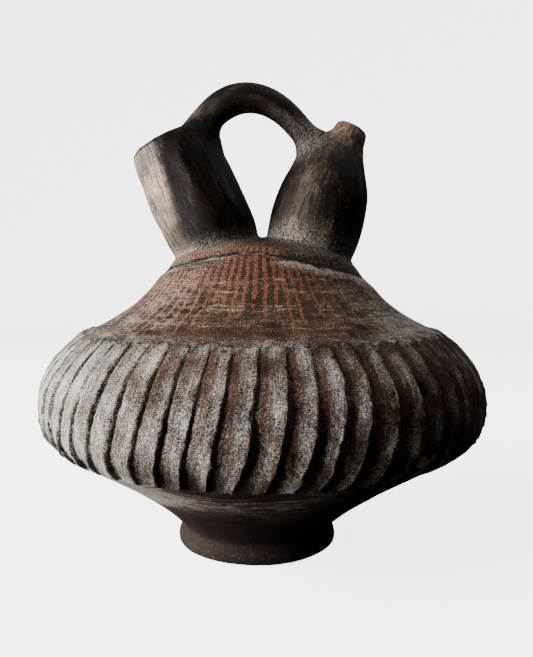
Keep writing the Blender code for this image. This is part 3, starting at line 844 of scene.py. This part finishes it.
def brownClay(points, angle, away):
    # how brown the clay shows through: in front, but for the collar's groove, and in patches behind
    brown = ease(46.0, 16.0, np.abs(angle - 2.0) + 14.0 * lumps(points, 30.0, 21))
    brown *= np.maximum(ease(0.0, 4.0, away), 0.8 * ease(2.0, -1.0, away))
    return np.maximum(brown, ease(0.25, 0.6, lumps(points, 55.0, 22)) * ease(60.0, 90.0, np.abs(angle)))


def grainPlaces(points, limb, high, fields):
    # coordinates for long marks: brush marks run round the body, and on a limb, scraping marks run along
    # it, so lengths in those directions count for about a tenth
    grain = points * [0.12, 0.12, 1.0]
    upper = points[high]
    nearest = np.argmin(np.stack([fields[name][0] for name in limbs]), axis=0)
    along = np.zeros((len(upper), 3))
    for index, (name, (axis, _, ends, _)) in enumerate(limbs.items()):
        where = fields[name][1]
        unit = 130.0 if name == "handle" else 1.0    # the handle's places are shares of its length
        centre = axis(where)
        ahead = axis(where + 0.01 * (ends[1] - ends[0])) - axis(where - 0.01 * (ends[1] - ends[0]))
        ahead /= np.linalg.norm(ahead, axis=1)[:, None] + 1e-9
        gap = upper[:, [0, 2]] - centre
        across = gap[:, 0] * ahead[:, 1] - gap[:, 1] * ahead[:, 0]
        mine = np.stack([across + 300.0 * index, upper[:, 1], 0.1 * unit * where], axis=1)
        along = np.where((nearest == index)[:, None], mine, along)
    grain[high] = np.where(limb[high][:, None] > 0.5, along, grain[high])
    return grain


def layRibCoordinates(thing, points):
    # which rib, and the share of the way up the belt, for each corner, so that the back's seam stays sharp
    corners = np.empty(len(thing.data.loops), dtype=np.int32)
    thing.data.loops.foreach_get("vertex_index", corners)
    starts = np.empty(len(thing.data.polygons), dtype=np.int32)
    thing.data.polygons.foreach_get("loop_start", starts)
    share = (points[:, 2] - beltBottom) / (beltTop - beltBottom)
    turns = ribCoordinate(points)[corners]
    spread = np.maximum.reduceat(turns, starts) - np.minimum.reduceat(turns, starts)
    crossing = np.repeat(spread > 0.5 * ribs["count"], np.diff(starts, append=len(corners)))
    turns = np.where(crossing & (turns < 0.0), turns + ribs["count"], turns)
    layer = thing.data.uv_layers.new(name="ribs")
    layer.data.foreach_set("uv", np.stack([turns, share[corners]], axis=1).astype(np.float32).ravel())


def describe(thing):
    # what the clay's finish needs to know about each point
    points = readPoints(thing)
    limb = joinedLimbs(points)
    high = points[:, 2] > limbsFrom
    fields = {name: limbField(points[high], *shape) for name, shape in limbs.items()}
    crease = np.zeros(len(points))
    crease[high] = creases(points[high], fields)
    setAttribute(thing, "zones", limb, ease(1.2, 2.6, hollowDepth(points)), crease)
    setAttribute(thing, "wear", *(marks(points, kind) for kind in ("chips", "pits", "stains")))
    angle = np.degrees(np.arctan2(points[:, 0], -points[:, 1]))
    away = collarAway(points)
    rubbed = rubbedAndHighlitClay(points, limb, high, fields)
    setAttribute(thing, "tones", away, brownClay(points, angle, away), rubbed)
    # painted light and shade: paler on the left, where the window lamp falls, darker on the right, with
    # random patches
    dusty = 1.1 * ease(-12.0, -55.0, angle) * ease(-170.0, -110.0, angle) - ease(14.0, 50.0, angle)
    setAttribute(thing, "dusty", dusty * ease(180.0, 110.0, angle) + 0.5 * lumps(points, 40.0, 23))
    setAttribute(thing, "grain", *grainPlaces(points, limb, high, fields).T)
    layRibCoordinates(thing, points)


clay = bodyOutside()
say("body")
combine(clay, [fillingSpout(), pouringSpout(), nozzleSpout(), handleRod()], "UNION")
say("joined")
writePoints(clay, smearJoints(readPoints(clay)))
say("joints smeared")
writePoints(clay, relief(readPoints(clay), readNormals(clay)))
say("relief")
combine(clay, [bodyInside(), fillingBore(), pouringBore(), nozzleBore()], "DIFFERENCE")
clay.data.name = clay.name
clay.data.shade_smooth()
describe(clay)
say(f"hollowed, {len(clay.data.polygons)} faces")

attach(clay, "root")
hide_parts("body", "spouts_and_handle")


def colour(code):
    # an sRGB hex code as the linear colour that a shader takes
    parts = [int(code[k:k + 2], 16) / 255.0 for k in (1, 3, 5)]
    return tuple(c / 12.92 if c <= 0.04045 else ((c + 0.055) / 1.055) ** 2.4 for c in parts) + (1.0,)


# short names of the nodes that are used most; "scaled" is one value times the next, plus a third
shortNames = {
    "times": ("Math", {"operation": "MULTIPLY"}), "plus": ("Math", {"operation": "ADD"}),
    "minus": ("Math", {"operation": "SUBTRACT"}), "scaled": ("Math", {"operation": "MULTIPLY_ADD"}),
    "larger": ("Math", {"operation": "MAXIMUM"}), "part": ("Math", {"operation": "FRACT"}),
    "size": ("Math", {"operation": "ABSOLUTE"}),
    "smooth": ("MapRange", {"interpolation_type": "SMOOTHSTEP"}), "blend": ("Mix", {"data_type": "RGBA"}),
}


def builder(material):
    # gives the material's own add(kind, value, value, ..., setting=...): a new node whose open inputs
    # take the values or links in order, and which hands back its first open output, or the one asked for
    material.use_nodes = True
    tree = material.node_tree

    def add(kind, *values, out=None, stops=(), **settings):
        if kind == "times" and len(values) > 2:
            values = (add(kind, *values[:-1]), values[-1])
        kind, usual = shortNames.get(kind, (kind, {}))
        made = tree.nodes.new("ShaderNode" + kind)
        for name, value in {**usual, **settings}.items():
            setattr(made, name, value)
        for socket, value in zip([s for s in made.inputs if s.enabled], values):
            if isinstance(value, bpy.types.NodeSocket):
                tree.links.new(value, socket)
            elif value is not None:
                socket.default_value = value
        if stops:
            made.color_ramp.elements[-1].position = stops[-1][0]
            for place, _ in stops[1:-1]:
                made.color_ramp.elements.new(place)
            for element, (_, code) in zip(made.color_ramp.elements, stops):
                element.color = colour(code)
        return made.outputs[out] if out is not None else next(s for s in made.outputs if s.enabled)

    return add


finish = {
    "ribClay": ((0.0, "#24190f"), (0.30, "#40332a"), (0.62, "#8f8981"), (1.0, "#ece7e0")),
    "brownClay": ((0.0, "#130702"), (0.35, "#382413"), (0.68, "#614732"), (1.0, "#917b63")),
    "greyClay": ((0.0, "#1a0e07"), (0.35, "#45372b"), (0.68, "#7d7367"), (1.0, "#c2b8ab")),
    "coneClay": ((0.0, "#0d0805"), (0.45, "#2c2019"), (0.75, "#5b4a3c"), (1.0, "#b9aea2")),
    "burnished": ((0.0, "#040201"), (0.42, "#170e08"), (0.72, "#35261c"), (1.0, "#6e5b4b")),
    "slip": "#945b44", "dustySlip": "#bd8a75", "ribSlip": "#6b3a2a", "crest": "#9c8260",
    "band": "#40210f", "scratch": "#b3a285", "settledDust": "#9a9186", "rubbed": "#ad9a86",
    # the pit tone also paints the shade line along the rib tops
    "chip": "#e8bd98", "pit": "#080403", "stain": "#350d09", "insideClay": "#3a2c24",
    # sizes in millimetres
    "patch": 14.0, "blot": 4.5, "grit": 0.65, "sand": 0.65 / 2.3, "streak": 1.5, "wideStreak": 5.0,
    "stripesRound": 84, "stripeSway": 9.0, "scratchWander": 34.0,
    "scratches": ((56.8, 0.3), (61.0, 0.42), (67.2, 0.45), (69.0, 0.3), (80.0, 0.4)),
    # how much the surface mirrors and how rough it is, on the body and on the spouts and handle
    "specular": (0.15, 0.08), "roughness": (0.78, 0.36),
}


def clayPatterns(add):
    # everything that the clay's tones are mixed from: where a point lies, what wore it, and noises
    on = SimpleNamespace()
    on.turn, on.share, _ = add("SeparateXYZ", add("UVMap", uv_map="ribs")).node.outputs
    for name, parts in (("zones", ("limb", "inside", "crease")), ("wear", ("chips", "pits", "stains")),
                        ("tones", ("away", "brown", "rubbed"))):
        outputs = add("SeparateXYZ", add("Attribute", attribute_name=name, out=1)).node.outputs
        vars(on).update(zip(parts, outputs))
    grainPlace = add("Attribute", attribute_name="grain", out=1)
    on.dusty = add("Attribute", attribute_name="dusty", out=2)
    on.place = add("VectorMath", add("TexCoord", out=3), (1.0 / mm,) * 3, operation="MULTIPLY")
    on.sideways, _, on.height = add("SeparateXYZ", on.place).node.outputs
    flat = add("VectorMath", on.place, (1.0, 1.0, 0.0), operation="MULTIPLY")
    on.radius = add("VectorMath", flat, operation="LENGTH", out=1)

    # grit of about a millimetre, patches of a few centimetres, and marks left along brush and scraper
    on.patches = add("TexNoise", on.place, 1.0 / finish["patch"], 3.0, 0.5)
    on.blots = add("TexNoise", on.place, 1.0 / finish["blot"], 3.0, 0.6)
    grit = add("TexNoise", on.place, 1.0 / finish["grit"], 3.0, 0.75)
    sand = add("TexNoise", on.place, 1.0 / finish["sand"], 1.0, 0.5)
    on.streaks = add("TexNoise", grainPlace, 1.0 / finish["streak"], 4.0, 0.65)
    on.streaked = add("minus", on.streaks, 0.5)
    on.wideStreaked = add("minus", add("TexNoise", grainPlace, 1.0 / finish["wideStreak"], 3.0, 0.5), 0.5)
    on.speckle = add("minus", add("scaled", sand, 0.3, add("times", grit, 0.7)), 0.5)
    on.blotting = add("minus", add("scaled", on.blots, 0.5, on.patches), 0.75)
    on.ragged = add("minus", on.blots, 0.5)
    along = add("CombineXYZ", add("times", on.turn, 11.7), add("times", on.share, 6.0))
    on.dragged = add("minus", add("TexNoise", along, 1.0 / finish["streak"], 3.0, 0.6), 0.5)

    # the way across a rib from its crest to the next, ragged and true, and how far up its flank it is
    on.across = add("part", add("scaled", on.ragged, 0.12, on.turn))
    on.crossing = add("part", on.turn)
    on.flank = add("minus", on.across, add("scaled", add("minus", 1.0, on.share), 0.17, 0.27))
    on.gritty = add("smooth", on.away, 1.5, -1.5, 0.0, 1.0)    # 1 inside the collar's groove
    return on


def mixedLevel(add, level, parts):
    # where on a ramp of tones a point is: a starting level plus each value times its weight
    for value, weight in parts:
        level = add("scaled", value, weight, level)
    return level


def ribTones(add, on):
    # a dark bank and floor, red slip on the flank, then dusty grit up to the crest; the dark bank and floor
    # and the paling up the flank are painted shade and painted light across each rib
    # painted light on the groove floors on the lamp's side, with a painted shade line on the bank
    grooveLightAndShade = add("times", add("smooth", on.dusty, -0.05, 0.4, 0.0, 0.2), add("smooth", on.flank, 0.3, 0.0))
    # painted shade on the bank, a little lighter on the lamp's side
    paintedBankShade = add("smooth", on.dusty, 0.0, 0.7, -0.04, 0.03)
    paleTop = add("times", add("smooth", on.share, 0.7, 1.0), add("MapRange", on.dusty, 0.1, 0.7))
    # the dust's tone, painted darker on the floor, paler up the flank and a little darker just before the
    # next crest, as painted shading across the rib
    dust = mixedLevel(add, add("smooth", on.flank, -0.04, 0.44, 0.34, 0.61), (
        (grooveLightAndShade, add("smooth", on.across, 0.06, 0.14, -0.5, 1.0)),
        (paintedBankShade, add("smooth", on.across, 0.2, 0.08)),
        (add("smooth", on.across, 0.88, 1.0, 0.0, -0.06), 1.0),
        (on.dragged, 0.8),
        (on.speckle, add("MapRange", on.dusty, -0.8, 0.1, 1.9, 3.0)),
        (paleTop, -0.20),
        (add("smooth", on.share, 0.35, 0.0, 0.0, -0.07), 1.0),
        (on.blotting, 0.75),
        (on.dusty, 0.12)))
    bare = add("times", add("smooth", add("minus", on.blots, on.patches), -0.14, 0.2, 0.4, 1.0),
               add("MapRange", on.dusty, 0.7, -0.4))
    tone = add("blend", bare, add("ValToRGB", dust, stops=finish["ribClay"]),
               add("ValToRGB", dust, stops=finish["brownClay"]))
    onSlip = add("times", add("smooth", on.flank, -0.13, -0.05), add("smooth", on.flank, 0.15, 0.07),
                 add("smooth", on.blots, 0.34, 0.54),
                 add("MapRange", on.sideways, -30.0, 25.0, 0.4, 1.0),
                 add("smooth", on.patches, 0.34, 0.50, 0.3, 1.0),
                 add("smooth", on.share, 0.12, 0.5),
                 add("smooth", on.speckle, -0.14, 0.06, 0.3, 0.8),
                 add("smooth", on.dragged, -0.12, 0.04, 0.6, 1.5),
                 add("MapRange", on.dusty, -0.1, 0.4, 0.85, 0.25))
    tone = add("blend", onSlip, tone, colour(finish["ribSlip"]))
    # pale clay along the crests, partly a painted highlight where they catch the light
    nearCrest = add("larger", add("smooth", on.crossing, 0.035, 0.01),
                    add("smooth", on.across, 0.945, 0.98))
    crestClayAndHighlight = add("times", nearCrest, add("smooth", on.blots, 0.44, 0.58, 0.0, 0.9),
                  add("smooth", on.speckle, -0.06, 0.06))
    return add("blend", crestClayAndHighlight, tone, colour(finish["crest"]))


def shoulderClay(add, on):
    # brown where rubbed and grey where dusty, darker in the collar's groove and paler on its bank
    rim = add("scaled", on.blots, 3.0, on.radius)    # the distance from the axis, with ragged edges
    bankEnd = add("minus", on.away, add("smooth", on.sideways, -8.0, 14.0, 2.6, 6.0))
    bank = add("times", add("smooth", on.away, 0.4, 1.2), add("smooth", bankEnd, 0.8, -0.8))
    trench = add("times", add("size", on.away), add("smooth", on.sideways, -5.0, 15.0, 1.0, 0.6))
    pale = add("times", add("smooth", rim, 76.6, 78.0), add("smooth", rim, 81.0, 80.0))
    level = mixedLevel(add, 0.365, (
        (on.speckle, 3.3),
        (on.streaked, 1.7),
        (add("smooth", on.sideways, 38.0, 75.0, 0.0, 0.32), 1.0),
        (add("smooth", on.sideways, 5.0, 36.0, 0.0, 0.08), 1.0),
        (on.blotting, 0.8),
        (bank, add("MapRange", on.sideways, 0.0, 20.0, 0.24, 0.48)),
        (add("smooth", trench, 0.3, 1.9, -0.42, 0.0), 1.0),
        (on.speckle, add("times", on.gritty, 3.2)),
        (add("smooth", on.sideways, -6.0, -26.0, -0.18, 0.0), on.gritty),
        (add("smooth", rim, 88.0, 92.0), add("smooth", on.sideways, 0.0, 40.0, 0.10, -0.08)),
        (add("smooth", on.sideways, -35.0, -75.0, 0.0, 0.05), 1.0),
        (on.dragged, add("smooth", on.sideways, 22.0, 55.0, 0.0, 1.2)),
        (pale, 0.10)))
    brown = add("times", on.brown, add("smooth", rim, 91.5, 87.5, 0.35, 1.0),
                add("smooth", bank, 0.0, 1.0, 1.0, 0.2))
    tone = add("blend", brown, add("ValToRGB", level, stops=finish["greyClay"]),
               add("ValToRGB", level, stops=finish["brownClay"]))
    # a bare brown band just above the belt
    speckled = add("times", brown, add("MapRange", on.speckle, -0.1, 0.1, 1.2, 0.5))
    bared = add("times", add("smooth", rim, 80.4, 81.6), add("smooth", rim, 89.0, 88.0),
                add("smooth", on.patches, 0.40, 0.62, 0.1, 0.7), speckled)
    return add("blend", bared, tone, colour(finish["band"]))


def slipStripes(add, on, tone):
    # red slip trailed down the shoulder in stripes, which thin out and stop where the brush ran dry
    around = finish["stripesRound"]
    sway = add("minus", add("TexNoise", on.place, 1.0 / finish["stripeSway"], 2.0), 0.5)
    stripes = add("times", add("scaled", sway, 0.4, on.turn), around / ribs["count"])
    number = add("plus", add("Math", stripes, operation="FLOOR"), 10.0 * around)    # kept above 0
    chance = add("TexWhiteNoise", add("Math", number, float(around), operation="MODULO"),
                 noise_dimensions="1D")
    ends = add("scaled", chance, 18.0, add("MapRange", on.sideways, -26.0, -54.0, 64.0, 74.0))
    width = add("times", add("smooth", on.radius, 50.0, 77.0, 0.28, 0.11),
                add("smooth", on.blots, 0.3, 0.7, 0.75, 1.2))
    middle = add("size", add("minus", add("part", stripes), 0.5))
    # inside the collar's groove the stripes are a row of short dashes
    started = add("smooth", add("scaled", chance, -2.5, on.away), 2.4, 3.2)
    dashStart = add("minus", on.away, add("MapRange", on.sideways, -36.0, 2.0, -12.0, -5.0))
    dashes = add("times", add("smooth", dashStart, -0.8, 0.8), add("smooth", on.away, -0.9, -1.9),
                 add("smooth", on.sideways, 16.0, 2.0, 0.0, 2.0))
    onRed = add("times", add("smooth", add("minus", middle, width), 0.05, -0.05),
                add("smooth", add("minus", on.radius, ends), 2.0, -3.0),
                add("larger", started, dashes),
                add("smooth", on.speckle, -0.10, 0.10, 0.25, 0.95),
                add("smooth", on.streaks, 0.36, 0.5, 0.7, 1.0))
    slipTone = add("blend", add("MapRange", on.sideways, -22.0, -60.0), colour(finish["slip"]),
                   colour(finish["dustySlip"]))
    return add("blend", onRed, tone, slipTone)


def paleScratches(add, on, tone):
    # scratches that wander round the shoulder, each given by its distance from the axis and half its width
    wander = add("minus", add("TexNoise", on.place, 1.0 / finish["scratchWander"], 3.0, 0.5), 0.5)
    scratchPlace = add("scaled", wander, 9.0, on.radius)
    scratched = 0.0
    for reach, half in finish["scratches"]:
        gap = add("size", add("minus", scratchPlace, reach))
        gap = add("scaled", on.ragged, -2.0, gap)
        scratched = add("larger", add("smooth", gap, half, 0.3 * half), scratched)
    scratched = add("times", scratched, add("smooth", on.patches, 0.46, 0.56),
                    add("smooth", on.speckle, -0.06, 0.10, 0.15, 0.8))
    return add("blend", scratched, tone, colour(finish["scratch"]))


def coneTones(add, on):
    # the lower wall and the foot, wiped round in the wet
    # darker towards the foot, and paler on the left, where the side light is painted in
    level = mixedLevel(add, add("smooth", on.height, 12.0, 58.0, 0.24, 0.58), (
        (on.dusty, add("smooth", on.height, 20.0, 56.0, 0.12, 1.25)),
        (on.streaked, add("MapRange", on.height, 10.0, 45.0, 0.5, 1.3)),
        (on.speckle, 0.9)))
    return add("ValToRGB", level, stops=finish["coneClay"])


def limbTones(add, on):
    # spouts and handle, scraped along and burnished, rubbed pale in places and painted pale as highlight and
    # sheen in others, with slip on the nozzle's lip
    level = mixedLevel(add, 0.36, (
        (on.wideStreaked, 1.7), (on.streaked, 1.9), (on.blotting, 0.6), (on.speckle, 1.3)))
    wornAndHighlit = add("times", on.rubbed, add("smooth", on.streaks, 0.34, 0.60, 0.2, 1.0),
               add("smooth", on.blotting, -0.10, 0.08, 0.45, 1.0),
               add("smooth", on.speckle, -0.12, 0.02, 0.5, 1.0))
    lip = add("times", add("MapRange", on.sideways, 30.0, 36.0), add("MapRange", on.height, 212.0, 220.0),
              add("smooth", on.blots, 0.36, 0.6, 0.1, 0.55))
    rubbedAndHighlitTone = add("blend", lip, colour(finish["rubbed"]), colour(finish["slip"]))
    return add("blend", wornAndHighlit, add("ValToRGB", level, stops=finish["burnished"]), rubbedAndHighlitTone)


def wornTones(add, on, tone):
    # dust in the creases, pale specks, and the marks that wear left
    settled = add("times", on.crease, add("smooth", on.speckle, -0.04, 0.08, 0.0, 0.9))
    tone = add("blend", settled, tone, colour(finish["settledDust"]))
    specks = add("smooth", add("TexNoise", on.place, 1.2, 1.0), 0.73, 0.79, 0.0, 0.5)
    tone = add("blend", specks, tone, colour(finish["scratch"]))
    # the chip's tone is pale bared clay, brightened further as painted light on the flake's face
    for mask, low, high, name in ((on.stains, 0.3, 0.5, "stain"), (on.chips, 0.42, 0.50, "chip"),
                                  (on.pits, 0.2, 0.6, "pit")):
        spread = add("scaled", on.speckle, 0.9, add("scaled", on.ragged, 1.8, mask))
        tone = add("blend", add("smooth", spread, low, high), tone, colour(finish[name]))
    return tone


def smokedEarthenware():
    # low-fired earthenware, burnished on the spouts, gouged and brushed on the body, blackened by
    # smoke: the eye gets dark sheen above, a matt dusty belt, and rubbed red slip in stripes
    material = bpy.data.materials.new("smoked earthenware with red slip")
    add = builder(material)
    link = material.node_tree.links.new
    shader = material.node_tree.nodes["Principled BSDF"].inputs
    on = clayPatterns(add)

    # the belt's share of the height, with ragged edges that bow where each rib ends
    corner = add("Math", add("minus", on.across, 0.62), 2.0, operation="POWER")
    edge = add("scaled", corner, 0.14, add("scaled", on.speckle, 0.10, on.share))
    edge = add("scaled", on.ragged, 0.22, edge)
    onBelt = add("times", add("smooth", edge, -0.016, 0.0), add("smooth", edge, 1.006, 0.994))
    # a dark line painted along the tops of the ribs, under the shoulder's step: painted shade
    paintedEdgeShade = add("times", add("smooth", edge, 0.985, 1.0), add("smooth", edge, 1.025, 1.005),
               add("smooth", on.blots, 0.36, 0.52, 0.0, 0.9))

    shoulderTone = paleScratches(add, on, slipStripes(add, on, shoulderClay(add, on)))
    tone = add("blend", add("smooth", on.share, 0.5, 0.6), coneTones(add, on), shoulderTone)
    tone = add("blend", onBelt, tone, ribTones(add, on))
    tone = add("blend", paintedEdgeShade, tone, colour(finish["pit"]))
    tone = add("blend", on.limb, tone, limbTones(add, on))
    tone = wornTones(add, on, tone)
    glitter = add("times", add("MapRange", on.speckle, -0.15, 0.15, -1.2, 1.0),
                  add("MapRange", add("larger", onBelt, on.limb), 0.0, 1.0, 1.0, 0.55))
    tone = add("VectorMath", tone, add("plus", glitter, 1.0), operation="SCALE")
    link(add("blend", on.inside, tone, colour(finish["insideClay"])), shader["Base Color"])

    specular = add("MapRange", on.limb, 0.0, 1.0, *finish["specular"])
    link(specular, shader["Specular IOR Level"])
    gloss = add("scaled", on.streaked, 0.35, add("MapRange", on.limb, 0.0, 1.0, *finish["roughness"]))
    link(gloss, shader["Roughness"])

    # the grit is too fine for the mesh, so it is raised here, by fractions of a millimetre
    rugged = add("times", add("MapRange", on.share, -0.04, 0.0, 0.35, 1.7),
                 add("MapRange", on.limb, 0.0, 1.0, 1.0, 0.18), add("scaled", on.gritty, 0.6, 1.0))
    raised = add("scaled", on.streaks, 0.22, add("times", on.speckle, rugged))
    link(add("Bump", 1.0, mm, None, raised), shader["Normal"])
    return material


clay.data.materials.clear()
clay.data.materials.append(smokedEarthenware())
say("finish")


def dish(name, floorReach, bend, rim, columns=96):
    # a round floor whose edge bends up into a wall: its profile is turned round the upright axis
    curve = np.linspace(0.0, math.pi / 2, 12)
    reach = np.concatenate([[0.0], np.linspace(0.1, floorReach, 8), floorReach + bend * np.sin(curve)[1:],
                            [floorReach + bend]])
    height = np.concatenate([np.zeros(9), bend * (1.0 - np.cos(curve))[1:], [rim]])
    angles = np.arange(columns) * 2.0 * math.pi / columns
    rings = [ring(r, h, angles) if r else np.zeros((1, 3)) for r, h in zip(reach / mm, height / mm)]
    return skin(name, rings)


backdrop = {"colour": "#ececea", "glow": 4.6, "floorReach": 1.3, "bend": 0.6, "rim": 3.0}
floor = dish("floor", backdrop["floorReach"], backdrop["bend"], backdrop["rim"])
floor.data.shade_smooth()
floor.visible_diffuse = False
floor.visible_glossy = False
paint = bpy.data.materials.new("matt wall paint")
paint.use_nodes = True
white = colour(backdrop["colour"])
for socket, value in (("Base Color", white), ("Roughness", 0.9), ("Emission Color", white),
                      ("Emission Strength", backdrop["glow"])):
    paint.node_tree.nodes["Principled BSDF"].inputs[socket].default_value = value
floor.data.materials.append(paint)

light = {"windowPlace": (-1.03, -0.28, 0.28), "windowSize": (1.1, 1.0), "windowPower": 80.0, "room": 0.032,
         "ceilingPlace": (0.45, 0.25, 1.1), "ceilingSize": (1.0, 1.0), "ceilingPower": 7.5}


def areaLight(name, place, target, size, power):
    # a rectangular lamp that faces its target
    data = bpy.data.lights.new(name, "AREA")
    data.shape = "RECTANGLE"
    data.size, data.size_y = size
    data.energy = power
    lamp = bpy.data.objects.new(name, data)
    bpy.context.scene.collection.objects.link(lamp)
    lamp.location = place
    lamp.rotation_euler = (Vector(target) - Vector(place)).to_track_quat("-Z", "Y").to_euler()


areaLight("window", light["windowPlace"], (0.0, 0.0, 0.12), light["windowSize"], light["windowPower"])
areaLight("ceiling", light["ceilingPlace"], (0.0, 0.0, 0.12), light["ceilingSize"], light["ceilingPower"])
world = bpy.data.worlds.new("room")
bpy.context.scene.world = world
world.use_nodes = True
world.node_tree.nodes["Background"].inputs["Color"].default_value = (1.0, 1.0, 1.0, 1.0)
world.node_tree.nodes["Background"].inputs["Strength"].default_value = light["room"]

# the camera stands 360 mm in front, at the height of the shoulder, and looks down by about 4 degrees;
# its lens is given by the photo's height and the distance that goes with it, in pixels
view = {"place": (0.0025, -0.3598, 0.143), "lookDown": 0.074, "film": 36.0, "photoHeight": 657.0,
        "distance": 655.0, "nearest": 0.01}
camera = bpy.data.objects.new("camera", bpy.data.cameras.new("camera"))
bpy.context.scene.collection.objects.link(camera)
camera.location = view["place"]
camera.rotation_euler = (math.pi / 2 - view["lookDown"], 0.0, 0.0)
camera.data.sensor_fit = "VERTICAL"
camera.data.sensor_height = view["film"]
camera.data.lens = view["film"] * view["distance"] / view["photoHeight"]
camera.data.clip_start = view["nearest"]
bpy.context.scene.camera = camera

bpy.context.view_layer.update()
say("finished")
